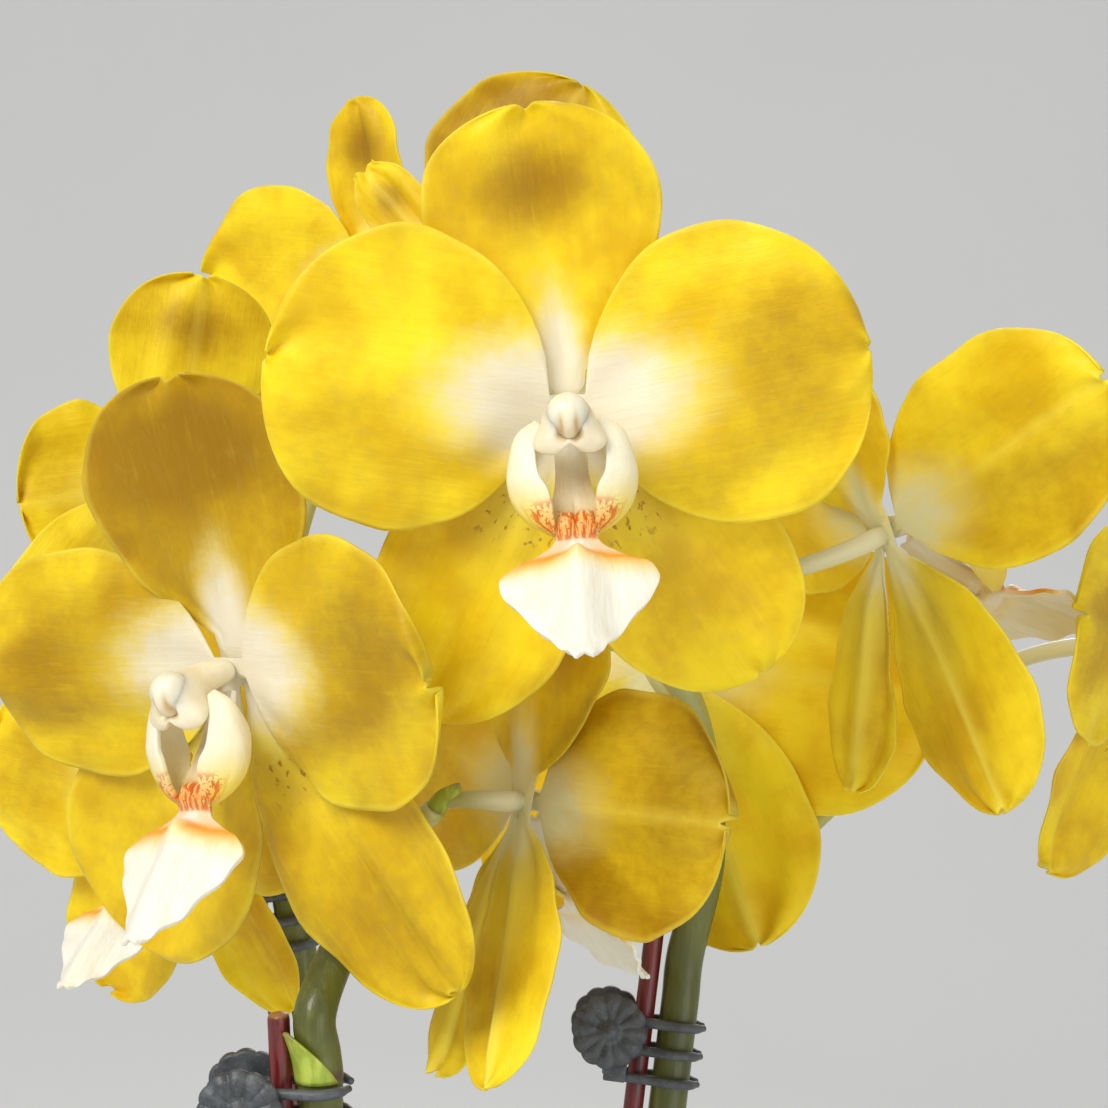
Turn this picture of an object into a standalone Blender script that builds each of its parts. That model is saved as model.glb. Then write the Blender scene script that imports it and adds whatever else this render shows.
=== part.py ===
"""Potted moth orchid: three staked and clipped flower spikes with ten flowers, three leaves, bark, plain pot.

Units are metres, +Z is up, and the origin is the centre of the pot's flat base. Sizes marked MM are written
in millimetres. Every sheet (leaf, sepals, petals, lip) is a grid given its thickness by Solidify.
"""
import math

import bmesh
import bpy
from mathutils import Matrix, Vector

MM = 0.001

# Pot and bark.
POT_HEIGHT = 0.110
POT_TOP_RADIUS = 0.060
POT_BASE_RADIUS = 0.045
POT_WALL = 0.0045
POT_FLOOR = 0.006
POT_RIM_HEIGHT = 0.014
POT_RIM_OUT = 0.0025
BARK_GAP = 0.0003
BARK_BELOW_RIM = 0.0065
BARK_DOME = 0.0030
POCKET_DEPTH = 0.050
SOCKET_UNDER = 0.001
SOCKET_OVER = 0.030
POT_FOOT_CUT = 0.003
ROUND_STEPS = 32
ROD_SIDES = 12

# Flower spikes, stakes and clips.
STEM_RADIUS = 0.0034
PEDICEL_RADIUS = 0.0014
STAKE_RADIUS = 0.0018
STAKE_TO_STEM_GAP = 0.0009
STAKE_TO_STEM = STAKE_RADIUS + STEM_RADIUS + STAKE_TO_STEM_GAP
FIT_GAP = 0.0003
CLIP_BAR_RADIUS = 0.0009
GRIP_RADIUS = 0.0068
GRIP_THICKNESS = 0.0020
GRIP_FLUTES = 12
GRIP_FLUTE_SHARE = 0.90
ARM_WIDTH = 0.0040
ARM_MIDDLE = -0.0006
ARM_GAP = 0.0030
ARM_INTO_GRIP = 0.0004
ARM_OVER_HEAD = 0.0020
SPRING_RADIUS = 0.0013
SPRING_WIRE_RADIUS = 0.0004
SPRING_LOW = -0.0045
SPRING_LENGTH = 0.0080
SPRING_TURNS = 3
SPRING_STEPS = 8
SPRING_TO_STAKE_GAP = 0.0001
PIVOT_TO_STAKE = STAKE_RADIUS + SPRING_RADIUS + SPRING_WIRE_RADIUS + SPRING_TO_STAKE_GAP
PIVOT_TO_STEM = PIVOT_TO_STAKE + STAKE_TO_STEM
PRONG_BY_STAKE = STAKE_RADIUS + CLIP_BAR_RADIUS + 0.0009
PRONG_BY_STEM = STEM_RADIUS + CLIP_BAR_RADIUS + 0.0007
SPIKE_TIP_SHARE = 0.55
PEDICEL_STRAIGHT = 0.0025
PEDICEL_STEPS = 6

# Leaves.
LEAF_THICKNESS = 0.0022
LEAF_ROWS = 9
LEAF_COLUMNS = 4
LEAF_FOLD_BASE = 0.55
LEAF_FOLD_TIP = 0.20
LEAF_FOOT_SHARE = 0.18

# Flowers, in millimetres for a flower of scale 1.
TEPAL_THICKNESS = 0.9
LIP_THICKNESS = 1.0
LIP_CURLED_RISE = 2.0
LOWER_SEPAL_GAP = 0.3
TWIST_BY = 0.3
TIP_SHARE = 0.985
HUB_RADIUS = 3.0
HUB_HALF_WIDTH = 1.5
SEPAL_GAP = 1.1
SEPAL_SETBACK = TEPAL_THICKNESS + SEPAL_GAP
COLUMN_LENGTH = 16.5

# Tepal kind: length, half width, degrees from up, widest at, rise power, tip power, tilt, bend, cup.
TEPALS = {
    "dorsal": (45.0, 17.6, 0.0, 0.62, 0.95, 2.4, -0.06, 0.06, 0.10),
    "petal_right": (45.0, 22.4, 78.0, 0.52, 0.60, 2.2, 0.10, 0.02, 0.03),
    "petal_left": (45.0, 22.4, -78.0, 0.52, 0.60, 2.2, 0.10, 0.02, 0.03),
    "lateral_right": (50.0, 15.8, 150.0, 0.58, 0.90, 2.2, -0.06, -0.04, 0.14),
    "lateral_left": (50.0, 15.8, -150.0, 0.58, 0.90, 2.2, -0.06, -0.04, 0.14),
}

# Lip stations: forward, up, half width, rise of the sides, in millimetres.
LIP_STATIONS = (
    (1.6, -3.3, 1.8, 0.5),
    (4.5, -7.5, 4.0, 3.0),
    (8.5, -12.6, 8.6, 9.0),
    (12.0, -16.4, 6.2, 4.0),
    (14.6, -18.4, 3.4, 0.2),
    (18.0, -20.8, 10.6, -1.8),
    (24.0, -24.8, 8.8, -2.4),
    (32.8, -31.0, 1.2, -0.5),
)

# Column profile down its length: radius and distance from the hub, in millimetres.
COLUMN_PROFILE = ((1.4, 1.0), (2.0, 3.0), (2.3, 8.0), (3.3, 11.5), (3.2, 14.5), (2.0, COLUMN_LENGTH))

# Clip prong path: away from the head and away from the stem's plane, from the pivot to the tip.
PRONG_ROUTE = (
    (0.0, PRONG_BY_STAKE - 0.0002),
    (PIVOT_TO_STAKE, PRONG_BY_STAKE),
    (PIVOT_TO_STEM - 0.0029, PRONG_BY_STEM - 0.0007),
    (PIVOT_TO_STEM, PRONG_BY_STEM),
    (PIVOT_TO_STEM + 0.0029, PRONG_BY_STEM - 0.0009),
    (PIVOT_TO_STEM + 0.0047, PRONG_BY_STEM - 0.0032),
)
PRONG_HEIGHTS = (-0.0070, -0.0020, 0.0030)
HEAD_HEIGHT = 0.0010
HEAD_OFFSET = -0.0025
GRIP_INNER = 0.0046

# Heights of the plant, stakes and clips in the tables below are those over a pot of TABLE_POT_HEIGHT.
TABLE_POT_HEIGHT = 0.110

# Stake: base at the bark, point held by the clip, and length above that point.
STAKES = {
    "left": (Vector((-0.034, -0.030, 0.110)), Vector((-0.0428, -0.055, 0.366)), 0.015),
    "right": (Vector((-0.016, -0.016, 0.110)), Vector((0.0158, 0.000, 0.366)), 0.030),
    "back": (Vector((-0.010, 0.034, 0.110)), Vector((-0.0566, 0.030, 0.384)), 0.012),
}

# Spike: points below its clip, and points above its clip.
SPIKES = {
    "left": (((-0.010, -0.017, 0.098), (-0.016, -0.027, 0.150), (-0.0255, -0.039, 0.230),
              (-0.0335, -0.0495, 0.310)),
             ((-0.0320, -0.0450, 0.3950), (-0.0265, -0.0445, 0.4060), (-0.0190, -0.0490, 0.4120))),
    "right": (((0.004, -0.019, 0.098), (0.005, -0.017, 0.150), (0.009, -0.009, 0.230),
               (0.0150, -0.0035, 0.310)),
              ((0.0275, -0.0030, 0.3980), (0.0265, -0.0100, 0.4150), (0.0225, -0.0230, 0.4290),
               (0.0150, -0.0350, 0.4370), (0.0060, -0.0400, 0.4400))),
    "back": (((-0.001, 0.019, 0.098), (-0.008, 0.024, 0.150), (-0.022, 0.027, 0.230),
              (-0.0370, 0.029, 0.310)),
             ((-0.0530, 0.0200, 0.4100), (-0.0520, 0.0080, 0.4320), (-0.0470, 0.0030, 0.4560),
              (-0.0400, 0.0030, 0.4760))),
}

# Leaf: heading in degrees, base point, length, half width, first and last rise in degrees.
LEAVES = {
    "leaf_1": (-6.0, (0.006, 0.000, 0.1085), 0.200, 0.036, 52.0, -38.0),
    "leaf_2": (176.0, (-0.006, 0.002, 0.1085), 0.190, 0.034, 48.0, -42.0),
    "leaf_3": (24.0, (0.002, 0.002, 0.1170), 0.130, 0.028, 72.0, -5.0),
}

# Flower: spike, points of its stalk from the spike on, centre, yaw, pitch, roll, scale, tepal changes.
# A change names a tepal and gives factors for its length and width, its angle, added tilt, or twist;
# a lip has its turn about the way the flower faces.
FLOWERS = {
    "flower_01": ("right", ((0.0060, -0.0400, 0.4400),), (0.0020, -0.0800, 0.4745), 0, 8, -4, 1.00,
                  {"dorsal": {"angle": -4}, "petal_right": {"angle": 82}, "petal_left": {"angle": -76},
                   "lateral_left": {"length": 1.06}, "lateral_right": {"length": 1.02, "angle": 148}}),
    "flower_02": ("left", ((-0.0320, -0.0450, 0.3950),), (-0.0510, -0.0550, 0.4350), -34, 14, -4, 1.05,
                  {"dorsal": {"twist": -25, "width": 0.94, "angle": 1, "tilt": 0.06},
                   "petal_right": {"angle": 92, "tilt": 0.1, "length": 1.02, "width": 0.92},
                   "petal_left": {"angle": -84, "length": 1.05, "width": 0.82},
                   "lateral_right": {"angle": 147, "length": 1.20, "tilt": 0.19},
                   "lateral_left": {"angle": -141, "width": 1.2, "length": 1.13, "tilt": 0.12}}),
    "flower_03": ("left", ((-0.0190, -0.0490, 0.4120),), (-0.0040, -0.0450, 0.4130), 130, 5, -6, 0.94,
                  {"petal_left": {"angle": -84, "width": 0.92},
                   "lateral_right": {"angle": 172, "width": 0.50},
                   "lateral_left": {"angle": -156, "tilt": -0.22, "width": 0.76}}),
    "flower_04": ("right", ((0.0150, -0.0350, 0.4370),), (0.0565, -0.0300, 0.4570), 128, -20, -10, 1.00,
                  {"petal_left": {"angle": -55, "length": 1.18, "width": 0.80},
                   "dorsal": {"angle": 30, "length": 0.75, "width": 0.8},
                   "lateral_right": {"angle": 168, "width": 0.52}, "lip": {"turn": 30}}),
    "flower_05": ("right", ((0.0235, 0.0000, 0.3740), (0.0270, 0.0150, 0.3800), (0.0430, 0.0240, 0.3950),
                            (0.0680, 0.0290, 0.4180)), (0.1085, 0.0000, 0.4355), 50, 5, 0, 0.90, {}),
    "flower_06": ("back", ((-0.0530, 0.0200, 0.4100),), (-0.0695, -0.0050, 0.4090), -32, 5, 0, 0.87,
                  {"lateral_right": {"width": 0.62}}),
    "flower_07": ("back", ((-0.0530, 0.0200, 0.4100), (-0.0430, 0.0420, 0.4200), (-0.0300, 0.0690, 0.4500)),
                  (-0.0375, 0.0630, 0.5072), -40, 5, -4, 0.91,
                  {"petal_right": {"angle": 110, "width": 0.8}, "petal_left": {"length": 1.15},
                   "dorsal": {"width": 0.66}}),
    "flower_08": ("back", ((-0.0400, 0.0030, 0.4760),), (-0.0155, 0.0150, 0.5030), 165, 0, 50, 0.85,
                  {"dorsal": {"angle": -7, "length": 0.80, "width": 0.42},
                   "petal_left": {"length": 1.12, "width": 1.10}}),
    "flower_09": ("right", ((0.0265, -0.0100, 0.4150),), (0.0205, 0.0150, 0.4335), 155, 5, 0, 1.12,
                  {"petal_left": {"angle": -96, "length": 1.06, "tilt": -0.03}, "petal_right": {"tilt": 0.06},
                   "lateral_right": {"tilt": 0.08}, "lateral_left": {"angle": -158, "tilt": 0.12}}),
    "flower_10": ("back", ((-0.0520, 0.0080, 0.4320),), (-0.0735, 0.0280, 0.4670), -160, 0, -8, 0.89,
                  {"petal_right": {"angle": 108, "length": 0.72, "width": 0.9},
                   "petal_left": {"length": 0.66, "tilt": -0.10},
                   "dorsal": {"tilt": -0.08}, "lateral_left": {"tilt": -0.10}}),
}

# Colours: base colour, roughness, metallic.
COLOURS = {
    "pot": ((0.86, 0.85, 0.82, 1), 0.30, 0.0),
    "bark": ((0.16, 0.09, 0.05, 1), 0.90, 0.0),
    "leaf": ((0.07, 0.19, 0.03, 1), 0.35, 0.0),
    "stem": ((0.22, 0.30, 0.06, 1), 0.45, 0.0),
    "stake": ((0.20, 0.02, 0.02, 1), 0.40, 0.0),
    "clip": ((0.08, 0.085, 0.09, 1), 0.45, 0.0),
    "spring": ((0.62, 0.62, 0.60, 1), 0.30, 1.0),
    "sepals": ((0.88, 0.62, 0.05, 1), 0.50, 0.0),
    "petals": ((0.93, 0.68, 0.06, 1), 0.50, 0.0),
    "lip": ((0.93, 0.90, 0.80, 1), 0.45, 0.0),
    "column": ((0.94, 0.89, 0.72, 1), 0.45, 0.0),
}


def clear_scene():
    for obj in list(bpy.data.objects):
        bpy.data.objects.remove(obj, do_unlink=True)


def make_collection(name):
    collection = bpy.data.collections.new(name)
    bpy.context.scene.collection.children.link(collection)
    return collection


def material(node, slot):
    colour, roughness, metallic = COLOURS[slot]
    mat = bpy.data.materials.new(node)
    mat.use_nodes = True
    shader = mat.node_tree.nodes["Principled BSDF"]
    shader.inputs["Base Color"].default_value = colour
    shader.inputs["Roughness"].default_value = roughness
    shader.inputs["Metallic"].default_value = metallic
    mat.diffuse_color = colour
    return mat


def add_mesh(name, verts, faces, collection, slot=None, smooth=True):
    mesh = bpy.data.meshes.new(name)
    mesh.from_pydata([tuple(v) for v in verts], [], faces)
    mesh.validate()
    mesh.update()
    if smooth:
        mesh.shade_smooth()
    obj = bpy.data.objects.new(name, mesh)
    collection.objects.link(obj)
    if slot:
        mesh.materials.append(material(name, slot))
    return obj


def solidify(obj, thickness, offset=0.0):
    mod = obj.modifiers.new("thickness", "SOLIDIFY")
    mod.thickness = thickness
    mod.offset = offset


def spun(name, profile, steps, collection, slot):
    """Round body turned about Z from (radius, height) points."""
    obj = add_mesh(name, [(r, 0.0, z) for r, z in profile], [], collection, slot)
    bm = bmesh.new()
    bm.from_mesh(obj.data)
    bm.verts.ensure_lookup_table()
    for a, b in zip(range(len(profile) - 1), range(1, len(profile))):
        bm.edges.new((bm.verts[a], bm.verts[b]))
    bm.to_mesh(obj.data)
    bm.free()
    mod = obj.modifiers.new("spin", "SCREW")
    mod.steps = steps
    mod.render_steps = steps
    mod.use_merge_vertices = True
    mod.merge_threshold = 0.00001
    mod.use_smooth_shade = True
    mod.use_normal_calculate = True
    return obj


def smooth_route(points, per_span):
    """Points on a Catmull-Rom curve through the given points."""
    pts = [Vector(p) for p in points]
    ends = [pts[0] * 2 - pts[1]] + pts + [pts[-1] * 2 - pts[-2]]
    out = []
    for i in range(1, len(ends) - 2):
        p0, p1, p2, p3 = ends[i - 1:i + 3]
        for k in range(per_span):
            t = k / per_span
            out.append(0.5 * (2 * p1 + (p2 - p0) * t + (2 * p0 - 5 * p1 + 4 * p2 - p3) * t ** 2
                              + (3 * p1 - p0 - 3 * p2 + p3) * t ** 3))
    return out + [pts[-1]]


def tube(name, points, radii, resolution, collection, slot=None):
    """A rod along the points: a bevelled curve with capped ends."""
    curve = bpy.data.curves.new(name, "CURVE")
    curve.dimensions = "3D"
    curve.bevel_depth = 1.0
    curve.bevel_resolution = resolution
    curve.use_fill_caps = True
    line = curve.splines.new("POLY")
    line.points.add(len(points) - 1)
    for point, place, radius in zip(line.points, points, radii):
        point.co = (*place, 1.0)
        point.radius = radius
    obj = bpy.data.objects.new(name, curve)
    collection.objects.link(obj)
    if slot:
        curve.materials.append(material(name, slot))
    return obj


def to_mesh(obj, name, collection, slot=None):
    """A curve object made into a welded mesh object; the curve is removed."""
    bpy.context.view_layer.update()
    evaluated = obj.evaluated_get(bpy.context.evaluated_depsgraph_get())
    mesh = bpy.data.meshes.new_from_object(evaluated)
    mesh.materials.clear()
    bm = bmesh.new()
    bm.from_mesh(mesh)
    bmesh.ops.remove_doubles(bm, verts=bm.verts, dist=0.00001)
    bmesh.ops.recalc_face_normals(bm, faces=bm.faces)
    bm.to_mesh(mesh)
    bm.free()
    world = obj.matrix_world.copy()
    bpy.data.objects.remove(obj, do_unlink=True)
    made = bpy.data.objects.new(name, mesh)
    made.matrix_world = world
    mesh.shade_smooth()
    collection.objects.link(made)
    if slot:
        mesh.materials.append(material(name, slot))
    return made


def boolean(obj, other, operation):
    mod = obj.modifiers.new(operation.lower(), "BOOLEAN")
    mod.solver = "EXACT"
    mod.operation = operation
    mod.object = other
    other.hide_render = True
    other.display_type = "WIRE"


def cylinder(name, radius, low, high, sides, collection):
    """A cylinder between two points."""
    axis = high - low
    bm = bmesh.new()
    bmesh.ops.create_cone(bm, cap_ends=True, segments=sides, radius1=radius, radius2=radius,
                          depth=axis.length)
    turn = axis.to_track_quat("Z", "Y").to_matrix().to_4x4()
    bmesh.ops.transform(bm, matrix=Matrix.Translation((low + high) / 2) @ turn, verts=bm.verts)
    mesh = bpy.data.meshes.new(name)
    bm.to_mesh(mesh)
    bm.free()
    obj = bpy.data.objects.new(name, mesh)
    collection.objects.link(obj)
    return obj


def blade_width(u, widest, rise, tip):
    """Half width of a blade as a share of its greatest, from its base (0) to its tip (1)."""
    if u < widest:
        share = (1 - (1 - u / widest) ** 2) ** rise
    else:
        share = math.sqrt(max(0.0, 1 - ((u - widest) / (1 - widest)) ** tip))
    return share


def tepal_point(kind, change, u, v):
    """Point of a sepal or petal in its flower's frame, in millimetres; the flower faces -Y."""
    length, half, angle, widest, rise, tip, tilt, bend, cup = TEPALS[kind]
    length *= change.get("length", 1.0)
    half *= change.get("width", 1.0)
    angle = math.radians(change.get("angle", angle))
    tilt += change.get("tilt", 0.0)
    along = HUB_RADIUS + (length - HUB_RADIUS) * u
    width = max(half * blade_width(u, widest, rise, tip), HUB_HALF_WIDTH)
    if kind.startswith("lateral") and (v > 0) == (kind == "lateral_right"):
        # The two lower sepals meet at the middle and do not cross.
        off_middle = math.pi - abs(angle)
        width = min(width, (along * math.sin(off_middle) - LOWER_SEPAL_GAP) / math.cos(off_middle))
    twist = math.radians(change.get("twist", 0.0)) * min(1.0, u / TWIST_BY)
    across = v * width
    lift = cup * v * v * width
    across, lift = (across * math.cos(twist) - lift * math.sin(twist),
                    across * math.sin(twist) + lift * math.cos(twist))
    run = along * math.cos(math.atan(tilt))
    forward = tilt * (run - HUB_RADIUS) + bend * (along - HUB_RADIUS) * u + lift
    out = Vector((math.sin(angle), 0.0, math.cos(angle)))
    side = Vector((math.cos(angle), 0.0, -math.sin(angle)))
    return out * run + side * across + Vector((0.0, -1.0, 0.0)) * forward


def blades(name, kinds, changes, rows, columns, setback, scale, collection, slot):
    """Blades that share one hub, as one sheet. Kinds run anticlockwise from the top."""
    verts, faces, hub = [], [], []
    for kind in kinds:
        first = len(verts)
        for i in range(rows + 1):
            u = TIP_SHARE * math.sin(0.5 * math.pi * i / rows) ** 0.9
            for j in range(columns + 1):
                point = tepal_point(kind, changes.get(kind, {}), u, 2 * j / columns - 1)
                verts.append((point + Vector((0, setback, 0))) * MM * scale)
        for i in range(rows):
            for j in range(columns):
                a = first + i * (columns + 1) + j
                faces.append((a, a + 1, a + columns + 2, a + columns + 1))
        hub += [first + j for j in range(columns, -1, -1)]
    centre = len(verts)
    verts.append(Vector((0, setback, 0)) * MM * scale)
    faces += [(hub[k], hub[(k + 1) % len(hub)], centre) for k in range(len(hub))]
    obj = add_mesh(name, verts, faces, collection, slot)
    solidify(obj, TEPAL_THICKNESS * MM * scale)
    return obj


def lip_point(forward, up, half, rise, v):
    """Point of the lip at v, from -1 to 1 across; the tall side lobes are curled like a half pipe."""
    if rise > LIP_CURLED_RISE:
        turn = 0.5 * math.pi * v
        return Vector((half * math.sin(turn), -forward, up + rise * (1 - math.cos(turn))))
    return Vector((half * v, -forward, up + rise * v * v))


def lip(name, columns, scale, collection):
    verts, faces = [], []
    for forward, up, half, rise in LIP_STATIONS:
        for j in range(columns + 1):
            verts.append(lip_point(forward, up, half, rise, 2 * j / columns - 1) * MM * scale)
    for i in range(len(LIP_STATIONS) - 1):
        for j in range(columns):
            a = i * (columns + 1) + j
            faces.append((a, a + columns + 1, a + columns + 2, a + 1))
    obj = add_mesh(name, verts, faces, collection, "lip")
    solidify(obj, LIP_THICKNESS * MM * scale)
    return obj


def column(name, scale, collection):
    profile = [(0.0, COLUMN_LENGTH), *reversed(COLUMN_PROFILE), (0.0, COLUMN_PROFILE[0][1])]
    profile = [(r * MM * scale, d * MM * scale) for r, d in profile]
    return spun(name, profile, 8, collection, "column")


def flower(name, entry, collection):
    """Sepals behind, petals before them, then the lip and the column, all on one empty."""
    centre, yaw, pitch, roll, scale, changes = entry[2:]
    turn = (Matrix.Rotation(math.radians(yaw), 4, "Z") @ Matrix.Rotation(math.radians(pitch), 4, "X")
            @ Matrix.Rotation(math.radians(roll), 4, "Y"))
    holder = bpy.data.objects.new(name + "_place", None)
    holder.matrix_world = Matrix.Translation(centre) @ turn
    collection.objects.link(holder)
    parts = [
        blades(name + "_sepals", ("dorsal", "lateral_left", "lateral_right"), changes, 4, 4,
               SEPAL_SETBACK, scale, collection, "sepals"),
        blades(name + "_petals", ("petal_left", "petal_right"), changes, 5, 4, 0.0, scale, collection,
               "petals"),
        lip(name + "_lip", 6, scale, collection),
        column(name + "_column", scale, collection),
    ]
    parts[2].rotation_euler = (0, math.radians(changes.get("lip", {}).get("turn", 0.0)), 0)
    parts[3].rotation_euler = (math.radians(90), 0, 0)
    for part in parts:
        part.parent = holder
    back = SEPAL_SETBACK + TEPAL_THICKNESS / 2 + FIT_GAP / MM
    return Matrix.Translation(centre) @ turn, back * MM * scale


def pedicel_route(points, place, back):
    """A flower's own stalk: from inside its spike, past any points given, to just behind its sepals."""
    end = place @ Vector((0, back, 0))
    level = place @ Vector((0, back + PEDICEL_STRAIGHT, 0))
    points = [Vector(p) for p in points]
    start = points[-1]
    gap = (level - start).length
    handle = place @ Vector((0, back + PEDICEL_STRAIGHT + 0.40 * gap, 0))
    if len(points) > 1:
        leave = (start - points[-2]).normalized() * 0.35 * gap
    else:
        leave = Vector((0, 0, 0.20 * gap))
    out = smooth_route(points, 2)[:-1] if len(points) > 1 else []
    for k in range(PEDICEL_STEPS + 1):
        t = k / PEDICEL_STEPS
        out.append((1 - t) ** 3 * start + 3 * (1 - t) ** 2 * t * (start + leave)
                   + 3 * (1 - t) * t ** 2 * handle + t ** 3 * level)
    return out + [end]


def stake_axis(name):
    base, held = STAKES[name][:2]
    return (held - base).normalized()


def clip_frame(name):
    """The clip's pivot frame: Z along the stake, X from the grips to the stem, -Y to the front."""
    axis = stake_axis(name)
    side = (Vector((1, 0, 0)) - axis * axis.x).normalized()
    front = axis.cross(side)
    turn = Matrix((side, front, axis)).transposed().to_4x4()
    held = STAKES[name][1]
    return Matrix.Translation(held - side * PIVOT_TO_STAKE) @ turn


def spike(name, flowers, collection, helpers):
    below, above = SPIKES[name]
    frame = clip_frame(name)
    held = [frame @ Vector((PIVOT_TO_STEM, 0, z)) for z in (-0.016, -0.008, 0.0, 0.008, 0.016)]
    route = smooth_route([Vector(p) for p in below] + held + [Vector(p) for p in above], 2)
    whole = 2 * (len(below) + len(held)) - 2
    radii = [STEM_RADIUS * (1.0 - (1.0 - SPIKE_TIP_SHARE) * max(0, k - whole) / (len(route) - 1 - whole))
             for k in range(len(route))]
    stem = to_mesh(tube(name + "_stem", route, radii, 2, helpers), "spike_" + name, collection, "stem")
    for points, place, back in flowers:
        stalk = pedicel_route(points, place, back)
        widths = [PEDICEL_RADIUS * (0.95 + 0.30 * k / (len(stalk) - 1)) for k in range(len(stalk))]
        other = to_mesh(tube("stalk", stalk, widths, 1, helpers), "stalk_cutter", helpers)
        boolean(stem, other, "UNION")
    return stem


def stake(name, collection):
    base, held, above = STAKES[name]
    axis = stake_axis(name)
    low = base - axis * (POCKET_DEPTH - FIT_GAP)
    high = held + axis * above
    obj = cylinder("stake_" + name, STAKE_RADIUS, low, high, ROD_SIDES, collection)
    obj.data.shade_smooth()
    obj.data.materials.append(material("stake_" + name, "stake"))
    return obj


def grip_mesh(name, side):
    """The fluted round grip as a closed mesh."""
    bm = bmesh.new()
    count = 2 * GRIP_FLUTES
    ring = []
    for face_y in (GRIP_INNER, GRIP_INNER + GRIP_THICKNESS):
        row = []
        for k in range(count):
            angle = 2 * math.pi * k / count
            radius = GRIP_RADIUS * (1.0 if k % 2 else GRIP_FLUTE_SHARE)
            row.append(bm.verts.new((HEAD_OFFSET + radius * math.cos(angle), side * face_y,
                                     HEAD_HEIGHT + radius * math.sin(angle))))
        ring.append(row)
    for k in range(count):
        n = (k + 1) % count
        bm.faces.new((ring[0][k], ring[0][n], ring[1][n], ring[1][k]))
    bm.faces.new(ring[0])
    bm.faces.new(ring[1])
    bmesh.ops.recalc_face_normals(bm, faces=bm.faces)
    mesh = bpy.data.meshes.new(name)
    bm.to_mesh(mesh)
    bm.free()
    return mesh


def arm_mesh(name, side):
    """The block that joins a grip to its prongs, beside the spring."""
    bm = bmesh.new()
    bmesh.ops.create_cube(bm, size=1.0)
    low, high = PRONG_HEIGHTS[0] - CLIP_BAR_RADIUS, HEAD_HEIGHT + ARM_OVER_HEAD
    near, far = ARM_GAP - ARM_INTO_GRIP, GRIP_INNER + ARM_INTO_GRIP
    size = Vector((ARM_WIDTH, far - near, high - low))
    middle = Vector((ARM_MIDDLE, side * (near + far) / 2, (high + low) / 2))
    bmesh.ops.transform(bm, matrix=Matrix.Translation(middle) @ Matrix.Diagonal((*size, 1)), verts=bm.verts)
    mesh = bpy.data.meshes.new(name)
    bm.to_mesh(mesh)
    bm.free()
    return mesh


def clip_jaw(name, side, hinge, collection, helpers):
    """One jaw: a fluted grip, an arm past the pivot, and prongs that reach round the stake and stem."""
    jaw = bpy.data.objects.new(name, grip_mesh(name, side))
    collection.objects.link(jaw)
    jaw.data.materials.append(material(name, "clip"))
    bar = bpy.data.objects.new(name + "_arm", arm_mesh(name + "_arm", side))
    helpers.objects.link(bar)
    bar.parent = hinge
    boolean(jaw, bar, "UNION")
    for height in PRONG_HEIGHTS:
        route = [Vector((x, side * y, height)) for x, y in PRONG_ROUTE]
        radii = [CLIP_BAR_RADIUS] * len(route)
        prong = to_mesh(tube("prong", route, radii, 1, helpers), name + "_prong", helpers)
        prong.parent = hinge
        boolean(jaw, prong, "UNION")
    jaw.parent = hinge
    return jaw


def clip(name, collection, helpers):
    base = bpy.data.objects.new("clip_" + name + "_place", None)
    base.matrix_world = clip_frame(name)
    collection.objects.link(base)
    hinge = bpy.data.objects.new("clip_" + name + "_hinge", None)
    hinge.parent = base
    collection.objects.link(hinge)
    clip_jaw("clip_" + name + "_front_jaw", -1, base, collection, helpers)
    clip_jaw("clip_" + name + "_rear_jaw", 1, hinge, collection, helpers)
    coil = []
    steps = SPRING_TURNS * SPRING_STEPS
    for k in range(steps + 1):
        angle = 2 * math.pi * k / SPRING_STEPS
        coil.append(Vector((SPRING_RADIUS * math.cos(angle), SPRING_RADIUS * math.sin(angle),
                            SPRING_LOW + SPRING_LENGTH * k / steps)))
    wire = [SPRING_WIRE_RADIUS] * len(coil)
    spring = tube("clip_" + name + "_spring", coil, wire, 0, collection, "spring")
    spring.parent = base


def leaf(name, collection):
    heading, base, length, half, first, last = LEAVES[name]
    heading = math.radians(heading)
    out = Vector((math.cos(heading), math.sin(heading), 0))
    side = Vector((-math.sin(heading), math.cos(heading), 0))
    rows, columns = LEAF_ROWS, LEAF_COLUMNS
    here = Vector(base)
    verts, faces = [], []
    for i in range(rows + 1):
        u = i / rows
        rise = math.radians(first + (last - first) * u)
        along = out * math.cos(rise) + Vector((0, 0, 1)) * math.sin(rise)
        up = out * -math.sin(rise) + Vector((0, 0, 1)) * math.cos(rise)
        width = half * max(blade_width(min(u, 0.97), 0.60, 0.80, 2.3), LEAF_FOOT_SHARE)
        fold = LEAF_FOLD_BASE + (LEAF_FOLD_TIP - LEAF_FOLD_BASE) * u
        for j in range(columns + 1):
            v = 2 * j / columns - 1
            verts.append(here + side * (v * width) + up * (abs(v) * width * fold))
        here = here + along * (length / rows)
    for i in range(rows):
        for j in range(columns):
            a = i * (columns + 1) + j
            faces.append((a, a + columns + 1, a + columns + 2, a + 1))
    obj = add_mesh(name, verts, faces, collection, "leaf")
    solidify(obj, LEAF_THICKNESS)
    return obj


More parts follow.
